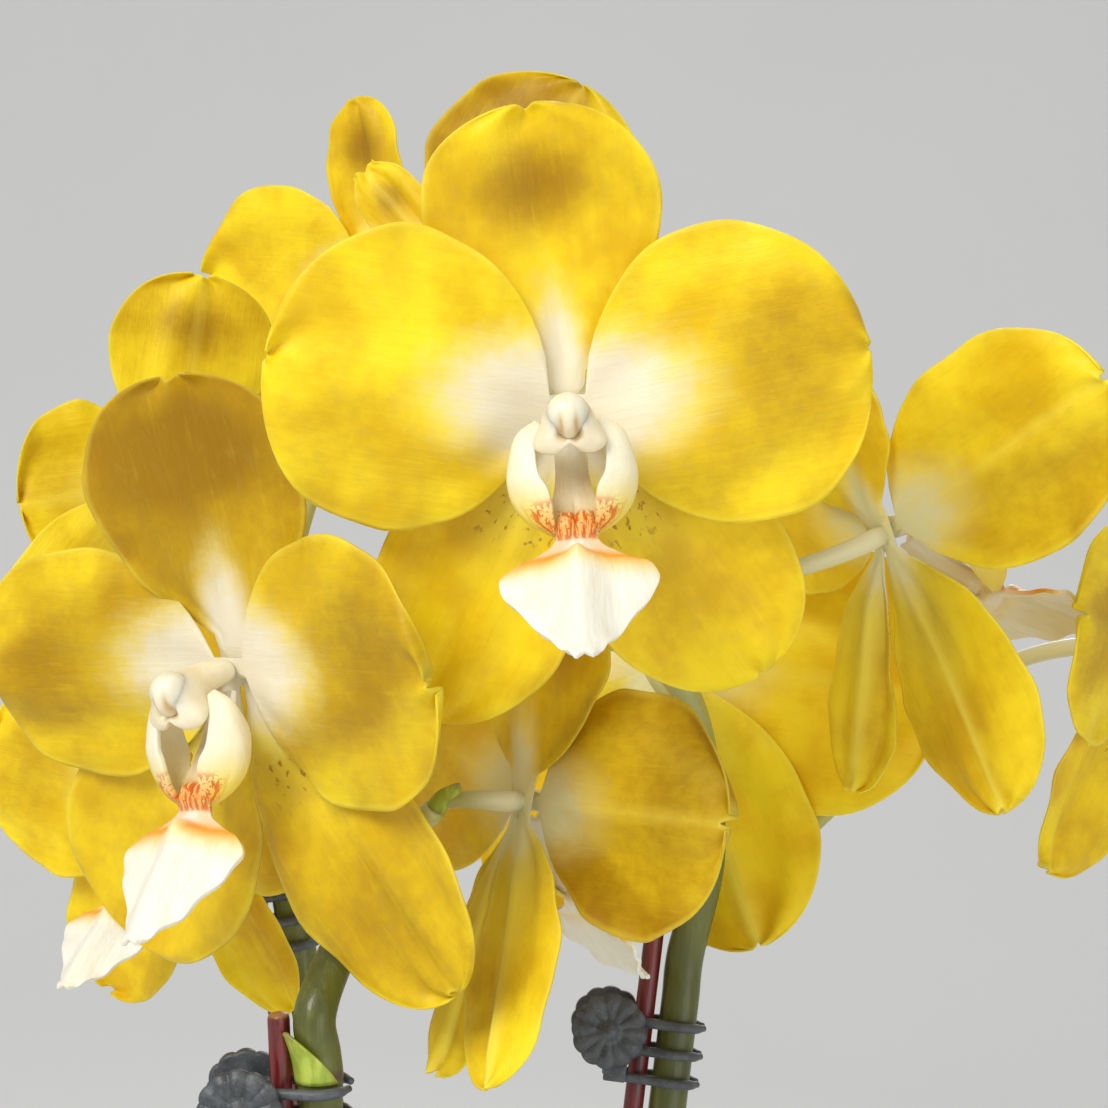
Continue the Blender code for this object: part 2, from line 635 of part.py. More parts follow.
def pot_and_bark(collection, helpers):
    rim_low = POT_HEIGHT - POT_RIM_HEIGHT
    slope = (POT_TOP_RADIUS - POT_BASE_RADIUS) / POT_HEIGHT
    inside = POT_BASE_RADIUS + slope * POT_FLOOR - POT_WALL
    top_inside = POT_TOP_RADIUS - POT_WALL
    spun("pot", [
        (0.0, POT_FLOOR), (inside, POT_FLOOR), (top_inside, POT_HEIGHT),
        (POT_TOP_RADIUS + POT_RIM_OUT, POT_HEIGHT), (POT_TOP_RADIUS + POT_RIM_OUT, rim_low),
        (POT_BASE_RADIUS + slope * rim_low, rim_low - POT_RIM_OUT), (POT_BASE_RADIUS, POT_FOOT_CUT),
        (POT_BASE_RADIUS - POT_FOOT_CUT, 0.0), (0.0, 0.0)], ROUND_STEPS, collection, "pot")
    top = POT_HEIGHT - BARK_BELOW_RIM
    share = (top - POT_FLOOR) / (POT_HEIGHT - POT_FLOOR)
    edge = inside + (top_inside - inside) * share - BARK_GAP * 2
    bark = spun("potting_bark", [
        (0.0, top + BARK_DOME), (edge * 0.5, top + BARK_DOME * 0.8), (edge, top),
        (inside - BARK_GAP * 2, POT_FLOOR + BARK_GAP), (0.0, POT_FLOOR + BARK_GAP)],
        ROUND_STEPS, collection, "bark")
    for name in STAKES:
        base, axis = STAKES[name][0], stake_axis(name)
        cutter = cylinder("pocket_" + name, STAKE_RADIUS + FIT_GAP, base - axis * POCKET_DEPTH,
                          base + axis * SOCKET_OVER, ROD_SIDES, helpers)
        boolean(bark, cutter, "DIFFERENCE")
    for name in SPIKES:
        low, second = (Vector(p) for p in SPIKES[name][0][:2])
        axis = (second - low).normalized()
        cutter = cylinder("socket_" + name, STEM_RADIUS + 2 * FIT_GAP, low - axis * SOCKET_UNDER,
                          low + axis * SOCKET_OVER, ROD_SIDES, helpers)
        boolean(bark, cutter, "DIFFERENCE")


def lift_plant(collection, helpers):
    """Everything but the pot and the bark stands on one empty, which rises with the pot's rim."""
    place = bpy.data.objects.new("plant_place", None)
    place.location = (0, 0, POT_HEIGHT - TABLE_POT_HEIGHT)
    for obj in [*collection.objects, *helpers.objects]:
        if obj.parent is None and obj.name not in ("pot", "potting_bark"):
            obj.parent = place
    collection.objects.link(place)


def main():
    clear_scene()
    collection = make_collection("potted_moth_orchid")
    helpers = make_collection("helpers")
    pot_and_bark(collection, helpers)
    for name in LEAVES:
        leaf(name, collection)
    held = {name: [] for name in SPIKES}
    for name, entry in FLOWERS.items():
        place, back = flower(name, entry, collection)
        held[entry[0]].append((entry[1], place, back))
    for name in SPIKES:
        spike(name, held[name], collection, helpers)
        stake(name, collection)
        clip(name, collection, helpers)
    lift_plant(collection, helpers)


main()
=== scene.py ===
"""Looks of the potted moth orchid: flowers, spikes, clips, leaves, bark and pot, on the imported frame."""

import math
import random

import bmesh
import bpy
import numpy as np
from mathutils import Matrix, Vector


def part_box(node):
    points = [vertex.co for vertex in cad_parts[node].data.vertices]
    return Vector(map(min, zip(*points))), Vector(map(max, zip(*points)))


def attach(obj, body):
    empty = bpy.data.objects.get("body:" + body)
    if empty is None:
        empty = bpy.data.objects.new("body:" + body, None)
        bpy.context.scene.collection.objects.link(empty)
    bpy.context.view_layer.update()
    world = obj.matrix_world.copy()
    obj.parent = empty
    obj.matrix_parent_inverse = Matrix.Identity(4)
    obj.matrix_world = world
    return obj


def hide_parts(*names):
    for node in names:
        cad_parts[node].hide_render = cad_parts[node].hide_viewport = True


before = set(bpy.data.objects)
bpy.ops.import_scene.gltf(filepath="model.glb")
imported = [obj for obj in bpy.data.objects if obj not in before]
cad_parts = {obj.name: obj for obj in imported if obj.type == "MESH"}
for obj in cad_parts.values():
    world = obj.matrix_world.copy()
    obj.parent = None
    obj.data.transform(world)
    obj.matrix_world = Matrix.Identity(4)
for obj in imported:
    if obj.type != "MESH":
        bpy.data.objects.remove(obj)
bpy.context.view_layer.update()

MM = 0.001
PLANT = "plant_in_pot"

# Placing of each flower in metres and degrees, as the frame has it: centre, yaw, pitch, roll, scale, and
# changes to its blades and lip; a blade's change in golden darkening paints it darker or lighter for the
# shade or light that falls on it.
FLOWERS = {
    "flower_01": ((0.0020, -0.0800, 0.4745), 0, 8, -4, 1.00,
                  {"dorsal": {"angle": -4, "gold": 0.06}, "petal_right": {"angle": 82, "gold": 0.15},
                   "petal_left": {"angle": -76}, "lateral_left": {"length": 1.06, "gold": -0.30},
                   "lateral_right": {"length": 1.02, "angle": 148}}),
    "flower_02": ((-0.0510, -0.0550, 0.4350), -34, 14, -4, 1.05,
                  {"dorsal": {"twist": -25, "width": 0.94, "angle": 1, "tilt": 0.06, "gold": 0.24},
                   "petal_right": {"angle": 92, "tilt": 0.1, "length": 1.02, "width": 0.92},
                   "petal_left": {"angle": -84, "length": 1.05, "width": 0.82},
                   "lateral_right": {"angle": 147, "length": 1.20, "tilt": 0.19},
                   "lateral_left": {"angle": -141, "width": 1.2, "length": 1.13, "tilt": 0.12,
                                    "gold": -0.14}}),
    "flower_03": ((-0.0040, -0.0450, 0.4130), 130, 5, -6, 0.94,
                  {"petal_left": {"angle": -84, "width": 0.92, "gold": 0.24},
                   "lateral_right": {"angle": 172, "width": 0.50, "gold": -0.20},
                   "lateral_left": {"angle": -156, "tilt": -0.22, "width": 0.76, "gold": -0.22}}),
    "flower_04": ((0.0565, -0.0300, 0.4570), 128, -20, -10, 1.00,
                  {"petal_left": {"angle": -55, "length": 1.18, "width": 0.80, "gold": 0.12},
                   "dorsal": {"angle": 30, "length": 0.75, "width": 0.8},
                   "lateral_right": {"angle": 168, "width": 0.52, "gold": -0.15}, "lip": {"turn": 30}}),
    "flower_05": ((0.1085, 0.0000, 0.4355), 50, 5, 0, 0.90, {}),
    "flower_06": ((-0.0695, -0.0050, 0.4090), -32, 5, 0, 0.87, {"lateral_right": {"width": 0.62}}),
    "flower_07": ((-0.0375, 0.0630, 0.5072), -40, 5, -4, 0.91,
                  {"petal_right": {"angle": 110, "width": 0.8}, "petal_left": {"length": 1.11},
                   "dorsal": {"length": 0.98, "width": 0.66}}),
    "flower_08": ((-0.0155, 0.0150, 0.5030), 165, 0, 50, 0.85,
                  {"dorsal": {"angle": -7, "length": 0.80, "width": 0.42, "gold": -0.30},
                   "petal_left": {"length": 1.12, "width": 1.10, "gold": 0.28}}),
    "flower_09": ((0.0205, 0.0150, 0.4335), 155, 5, 0, 1.12,
                  {"petal_left": {"angle": -96, "length": 1.06, "tilt": -0.03},
                   "petal_right": {"tilt": 0.06}, "lateral_right": {"tilt": 0.08},
                   "lateral_left": {"angle": -158, "tilt": 0.12}}),
    "flower_10": ((-0.0735, 0.0280, 0.4670), -160, 0, -8, 0.89,
                  {"petal_right": {"angle": 108, "length": 0.72, "width": 0.9},
                   "petal_left": {"length": 0.66, "tilt": -0.10},
                   "dorsal": {"tilt": -0.08}, "lateral_left": {"tilt": -0.10}}),
}

# Tepal kind: length, half width, degrees from up, widest at, rise power, tip power, tilt, bend, cup.
TEPALS = {
    "dorsal": (45.0, 17.6, 0.0, 0.62, 0.86, 2.4, -0.06, 0.06, 0.10),
    "petal_right": (45.0, 22.4, 78.0, 0.52, 0.60, 2.2, 0.10, 0.02, 0.03),
    "petal_left": (45.0, 22.4, -78.0, 0.52, 0.60, 2.2, 0.10, 0.02, 0.03),
    "lateral_right": (50.0, 15.8, 150.0, 0.58, 0.90, 2.2, -0.06, -0.04, 0.14),
    "lateral_left": (50.0, 15.8, -150.0, 0.58, 0.90, 2.2, -0.06, -0.04, 0.14),
}
HUB_RADIUS = 3.0
HUB_HALF_WIDTH = 1.5
DORSAL_HUB_HALF_WIDTH = 3.0
# Half of the gap between the two lower sepals, along the flower's middle.
HALF_GAP = 0.3
SEPAL_SETBACK = 2.0
BLADE_ROWS = 34
BLADE_COLUMNS = 26
BLADE_THICKNESS = 0.75
# Share of a blade's thickness that is left at its rim.
EDGE_SHARE = 0.45
LIP_THICKNESS = 0.75
LIP_EDGE_ROUND = 0.22

# What differs between the blades: reach of the cream patch along and across, depth of the middle crease
# and how much it fades, ruffle, rolled rim, hollows and notched tip; then the strength of each colour mask:
# band, a painted shadow band across the upper blade; lower, painted shade in the broad hollows; lime;
# specks;
# and keel, a painted highlight along the midrib on the back.
PARTS = {
    "dorsal": {"cream": (21.0, 5.2), "crease": 0.75, "crease_fade": 0.8, "ruffle": 0.40, "roll": 0.5,
               "hollow": 0.5, "notch": 0.8,
               "band": 1.05, "lower": 0.20, "lime": 0.06, "speck": 0.0, "keel": 0.4},
    "petal": {"cream": (23.0, 12.5), "crease": 0.45, "crease_fade": 0.8, "ruffle": 0.55, "roll": 0.9,
              "hollow": 1.0, "notch": 0.25,
              "band": 0.25, "lower": 0.35, "lime": 0.06, "speck": 0.0, "keel": 0.4},
    "lateral": {"cream": (17.0, 6.0), "crease": 1.1, "crease_fade": 0.45, "ruffle": 0.40, "roll": 0.5,
                "hollow": 0.5, "notch": 0.8,
                "band": 0.25, "lower": 0.20, "lime": 0.62, "speck": 1.0, "keel": 1.0},
}

# How far each flower is darkened towards deep golden brown: partly its own deeper tone, partly painted
# shade where it sits in shadow.
GOLD_AND_SHADE = {"flower_01": 0.02, "flower_02": 0.33, "flower_03": 0.28, "flower_04": 0.06, "flower_05": 0.12,
        "flower_06": 0.08, "flower_07": 0.05, "flower_08": 0.15, "flower_09": -0.25, "flower_10": 0.0}

# Lip stations: forward, up, half width, height of the sides over the middle, in millimetres.
LIP = (
    (1.9, -3.2, 1.9, 0.5), (4.0, -6.4, 2.3, 0.5), (6.4, -9.4, 2.4, 0.4), (8.8, -12.2, 3.0, 0.3),
    (10.8, -14.4, 3.8, 0.2), (12.4, -16.2, 3.7, 0.0), (13.8, -17.5, 3.0, -0.3), (15.0, -18.5, 4.0, -0.7),
    (16.1, -19.4, 6.6, -1.1), (17.6, -20.4, 10.4, -1.6), (19.8, -21.9, 11.3, -2.1),
    (22.6, -23.8, 9.7, -2.3), (26.0, -26.2, 6.9, -2.2), (29.0, -28.5, 4.2, -1.7), (31.1, -30.1, 2.4, -1.1),
    (32.1, -30.9, 1.2, -0.7),
)
# Side lobe of the right: out, forward and up along the rear edge, the belly and the front edge.
LOBE_REAR = ((4.0, 9.0, -1.5), (5.5, 7.4, -3.9), (6.4, 6.2, -7.6), (6.0, 6.4, -10.4),
             (5.2, 7.6, -12.8), (4.0, 9.2, -14.6), (2.4, 11.6, -16.6))
LOBE_BELLY = ((4.6, 9.5, -1.0), (7.6, 10.0, -3.0), (9.0, 10.8, -7.6), (8.9, 11.2, -10.4),
              (7.9, 11.8, -13.2), (6.1, 12.4, -15.4), (2.8, 13.0, -17.2))
LOBE_FRONT = ((4.2, 10.1, -1.5), (5.0, 11.6, -4.0), (4.7, 13.4, -7.8), (3.7, 14.4, -9.8),
              (3.3, 14.8, -12.0), (3.0, 14.4, -14.6), (2.3, 13.6, -16.8))

# Column stations: forward, middle height, half width, top, bottom, share of the wings, in millimetres.
COLUMN = (
    (0.9, 0.0, 1.7, 1.6, 1.7, 0.0), (3.0, 0.3, 2.1, 1.9, 2.2, 0.0), (6.5, 0.5, 2.4, 2.1, 3.0, 0.1),
    (9.0, 0.4, 2.9, 2.3, 4.6, 0.5), (11.4, 0.1, 3.4, 2.6, 6.2, 0.9), (13.2, -0.2, 3.5, 2.7, 6.9, 1.0),
    (14.3, -0.5, 3.1, 2.4, 6.3, 0.9), (15.0, -0.8, 2.2, 1.7, 4.6, 0.6),
)

# The anther cap on the column's end: radius, and its middle forward and up.
CAP_RADIUS = 3.15
CAP_PLACE = (13.4, 0.3)

# Key points of the spikes, stakes and clips in metres, as the frame has them.
STAKES = {
    "left": (Vector((-0.034, -0.030, 0.110)), Vector((-0.0428, -0.055, 0.366)), 0.015),
    "right": (Vector((-0.016, -0.016, 0.110)), Vector((0.0158, 0.000, 0.366)), 0.030),
    "back": (Vector((-0.010, 0.034, 0.110)), Vector((-0.0566, 0.030, 0.384)), 0.012),
}
SPIKES = {
    "left": (((-0.010, -0.017, 0.098), (-0.016, -0.027, 0.150), (-0.0255, -0.039, 0.230),
              (-0.0335, -0.0495, 0.310)),
             ((-0.0320, -0.0450, 0.3950), (-0.0265, -0.0445, 0.4060), (-0.0190, -0.0490, 0.4120))),
    "right": (((0.004, -0.019, 0.098), (0.005, -0.017, 0.150), (0.009, -0.009, 0.230),
               (0.0150, -0.0035, 0.310)),
              ((0.0275, -0.0030, 0.3980), (0.0265, -0.0100, 0.4150), (0.0225, -0.0230, 0.4290),
               (0.0150, -0.0350, 0.4370), (0.0060, -0.0400, 0.4400))),
    "back": (((-0.001, 0.019, 0.098), (-0.008, 0.024, 0.150), (-0.022, 0.027, 0.230),
              (-0.0370, 0.029, 0.310)),
             ((-0.0530, 0.0200, 0.4100), (-0.0520, 0.0080, 0.4320), (-0.0470, 0.0030, 0.4560),
              (-0.0400, 0.0030, 0.4760))),
}
STALKS = {
    "flower_01": ("right", ((0.0060, -0.0400, 0.4400),)),
    "flower_02": ("left", ((-0.0320, -0.0450, 0.3950),)),
    "flower_03": ("left", ((-0.0190, -0.0490, 0.4120),)),
    "flower_04": ("right", ((0.0150, -0.0350, 0.4370),)),
    "flower_05": ("right", ((0.0235, 0.0000, 0.3740), (0.0270, 0.0150, 0.3800), (0.0430, 0.0240, 0.3950),
                            (0.0680, 0.0290, 0.4180))),
    "flower_06": ("back", ((-0.0530, 0.0200, 0.4100),)),
    "flower_07": ("back", ((-0.0530, 0.0200, 0.4100), (-0.0430, 0.0420, 0.4200),
                           (-0.0300, 0.0690, 0.4500))),
    "flower_08": ("back", ((-0.0400, 0.0030, 0.4760),)),
    "flower_09": ("right", ((0.0265, -0.0100, 0.4150),)),
    "flower_10": ("back", ((-0.0520, 0.0080, 0.4320),)),
}
STEM_RADIUS = 0.0034
STEM_JOINTS = (0.150, 0.214, 0.280)
LEFT_STEM_JOINT = 0.3712
# Heights along the stake, from the clip's pivot, between which the stem runs beside it.
HELD_HEIGHTS = (-0.016, -0.008, 0.0, 0.008, 0.016)
BRACT_LENGTH = 0.013
SHORT_BRACT_LENGTH = 0.0085
BRACT_THICKNESS = 0.0004
PEDICEL_RADIUS = 0.0014
STALK_BRACT_LENGTH = 0.006
# From the sepals' middle surface to the stalk's end, in millimetres.
STALK_TO_SEPALS = 0.55
# Length of the stalk's straight end, in metres.
STALK_STRAIGHT = 0.0025
STAKE_RADIUS = 0.0018
STAKE_BELOW_BARK = 0.0497
STAKE_TO_STEM = 0.0061
PIVOT_TO_STAKE = 0.0036
PRONG_ROUTE = ((0.0, 0.0034), (0.0036, 0.0036), (0.0068, 0.0043), (0.0097, 0.0050),
               (0.0126, 0.0041), (0.0144, 0.0018))
PRONG_HEIGHTS = (-0.0070, -0.0020, 0.0030)
PRONG_RADIUS = 0.0009
HEAD_HEIGHT = 0.0010
HEAD_OFFSET = -0.0025
GRIP_RADIUS = 0.0068
GRIP_INNER = 0.0046
GRIP_THICKNESS = 0.0020
GRIP_SCALLOPS = 12
SPRING_TURNS = 4.5
SPRING_RADIUS = 0.0013
SPRING_HEIGHTS = (-0.0047, 0.0035)
SPRING_WIRE_RADIUS = 0.00038

# Leaves: heading in degrees, foot, length, half width, rise at the foot and at the tip in degrees.
LEAVES = {
    "leaf_1": (-6.0, (0.006, 0.000, 0.1085), 0.200, 0.036, 52.0, -38.0),
    "leaf_2": (176.0, (-0.006, 0.002, 0.1085), 0.190, 0.034, 48.0, -42.0),
    "leaf_3": (24.0, (0.002, 0.002, 0.1170), 0.130, 0.028, 72.0, -5.0),
}
LEAF_THICKNESS = 0.0020
# Share of a leaf's length that passes before it starts to bend.
LEAF_BEND_LAG = 0.5 / 9
POT_FOOT_RADIUS = 0.045
POT_WALL = 0.0045
POT_FLOOR = 0.006
POT_BAND_HEIGHT = 0.014
POT_BAND_OUT = 0.0025
CHIP_COUNT = 190
# Roots: heading in degrees and reach.
ROOTS = ((-62, 0.044), (-118, 0.046), (68, 0.040), (118, 0.046), (-30, 0.036), (-150, 0.040))
ROOT_RADIUS = 0.0021
# Share of a root's reach, and its height over the bark.
ROOT_ROUTE = ((0.12, 0.0060), (0.3, 0.0052), (0.55, 0.0034), (0.8, 0.0022), (1.0, 0.0002))

# The light is aimed at the flowers; lens and sensor are in millimetres.
LIGHT_TARGET = (0.0, -0.03, 0.44)
CAMERA_PLACE = (0.0, -0.44, 0.453)
CAMERA_LENS = 79.3
SENSOR_WIDTH = 36.0


# ---------------------------------------------------------------- mesh helpers


class Shape:
    """Vertices, faces and per-vertex attributes of one piece, gathered part by part."""

    def __init__(self):
        self.verts, self.faces, self.slots, self.attributes, self.count = [], [], [], {}, 0

    def add(self, verts, faces, slot=0, **attributes):
        verts = np.asarray(verts, float).reshape(-1, 3)
        start = self.count
        self.verts.append(verts)
        self.faces += [tuple(start + i for i in face) for face in faces]
        self.slots += [slot] * len(faces)
        for name in sorted(set(self.attributes) | set(attributes)):
            held = self.attributes.setdefault(name, [np.zeros(start)] if start else [])
            held.append(np.broadcast_to(np.asarray(attributes.get(name, 0.0), float), (len(verts),)).copy())
        self.count += len(verts)
        return start

    def make(self, name, materials):
        mesh = bpy.data.meshes.new(name)
        verts = np.concatenate(self.verts)
        mesh.from_pydata(verts.tolist(), [], self.faces)
        for mat in materials:
            mesh.materials.append(mat)
        mesh.polygons.foreach_set("material_index", self.slots)
        for key, parts in self.attributes.items():
            layer = mesh.attributes.new(key, "FLOAT", "POINT")
            layer.data.foreach_set("value", np.concatenate(parts).astype(np.float32))
        mesh.update()
        mesh.shade_smooth()
        obj = bpy.data.objects.new(name, mesh)
        bpy.context.scene.collection.objects.link(obj)
        return obj


def grid_faces(rows, columns, start=0, wrap=False):
    """Quads of a grid of rows by columns of vertices; wrap joins the last column to the first."""
    faces = []
    span = columns if wrap else columns - 1
    for i in range(rows - 1):
        for j in range(span):
            a, b = start + i * columns + j, start + i * columns + (j + 1) % columns
            faces.append((a, b, b + columns, a + columns))
    return faces


def smooth(low, high, x):
    """Rises from 0 at low to 1 at high."""
    t = np.clip((np.asarray(x, float) - low) / (high - low), 0, 1)
    return t * t * (3 - 2 * t)


def hump(x, middle, reach, power=2):
    """A bell of height 1 round the middle; higher powers make it squarer."""
    return np.exp(-((x - middle) / reach) ** power)


def through(points, count):
    """count points on a Catmull-Rom curve through the rows of points, which may hold any columns."""
    pts = np.asarray(points, float)
    ends = np.vstack([2 * pts[0] - pts[1], pts, 2 * pts[-1] - pts[-2]])
    at = np.linspace(0, len(pts) - 1, count)
    i = np.minimum(at.astype(int), len(pts) - 2)
    t = (at - i)[:, None]
    p0, p1, p2, p3 = ends[i], ends[i + 1], ends[i + 2], ends[i + 3]
    return 0.5 * (2 * p1 + (p2 - p0) * t + (2 * p0 - 5 * p1 + 4 * p2 - p3) * t ** 2
                  + (3 * p1 - p0 - 3 * p2 + p3) * t ** 3)


def capped(rings, ends=None):
    """Verts and faces of a stack of rings, closed by a fan at each end."""
    rows, sides = rings.shape[:2]
    if ends is None:
        ends = [rings[0].mean(axis=0), rings[-1].mean(axis=0)]
    faces = grid_faces(rows, sides, wrap=True)
    low = rows * sides
    last = low - sides
    faces += [((j + 1) % sides, j, low) for j in range(sides)]
    faces += [(last + j, last + (j + 1) % sides, low + 1) for j in range(sides)]
    return np.vstack([rings.reshape(-1, 3), ends]), faces


def tube(shape, points, radii, sides, wobble=None, **attributes):
    """A round rod along the points with closed, slightly domed ends."""
    pts = np.asarray(points, float)
    tangents = np.gradient(pts, axis=0)
    tangents /= np.linalg.norm(tangents, axis=1)[:, None]
    normal = np.cross(tangents[0], (0.31, 0.87, 0.38))
    rings = []
    angles = np.linspace(0, 2 * math.pi, sides, endpoint=False)
    for k, (point, tangent, radius) in enumerate(zip(pts, tangents, radii)):
        normal = normal - tangent * normal.dot(tangent)
        normal /= np.linalg.norm(normal)
        side = np.cross(tangent, normal)
        r = radius * (wobble(k, angles) if wobble else np.ones(sides))
        rings.append(point + np.outer(r * np.cos(angles), normal) + np.outer(r * np.sin(angles), side))
    domes = [pts[0] - tangents[0] * radii[0] * 0.25, pts[-1] + tangents[-1] * radii[-1] * 0.25]
    verts, faces = capped(np.array(rings), domes)
    spread = {}
    for key, value in attributes.items():
        value = np.asarray(value, float)
        spread[key] = np.concatenate([np.repeat(value, sides), value[[0, -1]]]) if value.ndim else value
    shape.add(verts, faces, **spread)


def lathe(shape, profile, steps, **attributes):
    """Turns (radius, height) points about Z; the first and the last of them lie on the axis."""
    angles = np.linspace(0, 2 * math.pi, steps, endpoint=False)
    rings = [np.column_stack([radius * np.cos(angles), radius * np.sin(angles), np.full(steps, height)])
             for radius, height in profile[1:-1]]
    verts, faces = capped(np.array(rings), [(0, 0, profile[0][1]), (0, 0, profile[-1][1])])
    shape.add(verts, faces, **attributes)


def turned(verts, matrix):
    """Vertices carried by a matrix."""
    verts = np.asarray(verts, float).reshape(-1, 3)
    m = np.array(matrix)
    return verts @ m[:3, :3].T + m[:3, 3]


def outward(obj):
    """Makes the faces of a closed mesh look out, and drops vertices that no face uses."""
    bm = bmesh.new()
    bm.from_mesh(obj.data)
    bmesh.ops.delete(bm, geom=[v for v in bm.verts if not v.link_faces], context="VERTS")
    bmesh.ops.recalc_face_normals(bm, faces=bm.faces)
    bm.to_mesh(obj.data)
    bm.free()
    return obj


def thicken(obj, thickness):
    """Gives a sheet its thickness, half to each side."""
    mod = obj.modifiers.new("thickness", "SOLIDIFY")
    mod.thickness = thickness
    mod.offset = 0.0
    return mod


def soften(obj, width):
    """Rounds the sharp edges of a piece."""
    mod = obj.modifiers.new("soft_edge", "BEVEL")
    mod.width = width
    mod.segments = 2
    mod.limit_method = "ANGLE"


def stands_for(obj, body, slot, *nodes):
    """Ties a piece to its body, and to the nodes that it replaces, which it hides; the slot is not used."""
    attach(obj, body)
    if nodes:
        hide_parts(*nodes)
    return obj


# ---------------------------------------------------------------- materials


class Nodes:
    """A short way to build one Principled material."""

    def __init__(self, name, roughness, **sockets):
        self.mat = bpy.data.materials.new(name)
        self.mat.use_nodes = True
        self.tree = self.mat.node_tree
        self.shader = self.tree.nodes["Principled BSDF"]
        self.shader.inputs["Roughness"].default_value = roughness
        for key, value in sockets.items():
            self.shader.inputs[key.replace("_", " ")].default_value = value

    def new(self, kind, **settings):
        node = self.tree.nodes.new(kind)
        for key, value in settings.items():
            setattr(node, key, value)
        return node

    def link(self, output, socket):
        self.tree.links.new(output, socket)

    def attribute(self, name):
        return self.new("ShaderNodeAttribute", attribute_name=name).outputs["Fac"]

    def combine(self, x, y, z):
        node = self.new("ShaderNodeCombineXYZ")
        for socket, value in zip(("X", "Y", "Z"), (x, y, z)):
            self.link(value, node.inputs[socket])
        return node.outputs["Vector"]

    def place(self, scale, vector=None):
        if vector is None:
            vector = self.new("ShaderNodeTexCoord").outputs["Object"]
        node = self.new("ShaderNodeMapping")
        node.inputs["Scale"].default_value = scale
        self.link(vector, node.inputs["Vector"])
        return node.outputs["Vector"]

    def noise(self, vector, detail, roughness):
        node = self.new("ShaderNodeTexNoise")
        node.inputs["Scale"].default_value = 1.0
        node.inputs["Detail"].default_value = detail
        node.inputs["Roughness"].default_value = roughness
        self.link(vector, node.inputs["Vector"])
        return node.outputs["Fac"]

    def cloud(self, cells, detail, roughness=0.55):
        """Noise in the piece's own coordinates, with so many cells to a metre along each axis."""
        return self.noise(self.place(cells), detail, roughness)

    def streaks(self, across, along, detail, roughness):
        """Noise in the coordinates of a blade, with so many cells to a millimetre across and along it."""
        vector = self.combine(self.attribute("across"), self.attribute("along"), self.attribute("seed"))
        return self.noise(self.place((across, along, 1.0), vector), detail, roughness)

    def flecks(self, cells):
        """Distance from the middles of scattered cells in the piece's own coordinates."""
        node = self.new("ShaderNodeTexVoronoi")
        node.inputs["Scale"].default_value = 1.0
        self.link(self.place(cells), node.inputs["Vector"])
        return node.outputs["Distance"]

    def span(self, value, low, high, to_low=0.0, to_high=1.0):
        node = self.new("ShaderNodeMapRange", interpolation_type="SMOOTHSTEP")
        for key, number in zip(("From Min", "From Max", "To Min", "To Max"), (low, high, to_low, to_high)):
            node.inputs[key].default_value = number
        self.link(value, node.inputs["Value"])
        return node.outputs["Result"]

    def math(self, operation, a, b):
        node = self.new("ShaderNodeMath", operation=operation)
        for socket, value in zip(node.inputs, (a, b)):
            if isinstance(value, (int, float)):
                socket.default_value = value
            else:
                self.link(value, socket)
        return node.outputs["Value"]

    def mix(self, factor, a, b, blend="MIX"):
        node = self.new("ShaderNodeMix", data_type="RGBA", blend_type=blend)
        for socket, value in ((node.inputs["Factor"], factor), (node.inputs[6], a), (node.inputs[7], b)):
            if isinstance(value, (int, float)):
                socket.default_value = value
            elif isinstance(value, tuple):
                socket.default_value = (*value, 1.0)
            else:
                self.link(value, socket)
        return node.outputs[2]

    def blend(self, value, low, high, dark, light):
        """From dark to light as the value goes from low to high."""
        return self.mix(self.span(value, low, high), dark, light)

    def tinge(self, body, value, low, high, strength, colour):
        """Lays a colour over the body, up to a strength, as the value goes from low to high."""
        return self.mix(self.span(value, low, high, 0.0, strength), body, colour)

    def mask(self, body, name, colour):
        """Lays a colour over the body where an attribute of the mesh says so."""
        return self.mix(self.attribute(name), body, colour)

    def colour(self, output):
        self.link(output, self.shader.inputs["Base Color"])
        return self

    def rough(self, output):
        self.link(output, self.shader.inputs["Roughness"])
        return self

    def bump(self, height, distance, strength=1.0):
        node = self.new("ShaderNodeBump")
        node.inputs["Distance"].default_value = distance
        node.inputs["Strength"].default_value = strength
        self.link(height, node.inputs["Height"])
        self.link(node.outputs["Normal"], self.shader.inputs["Normal"])
        return self


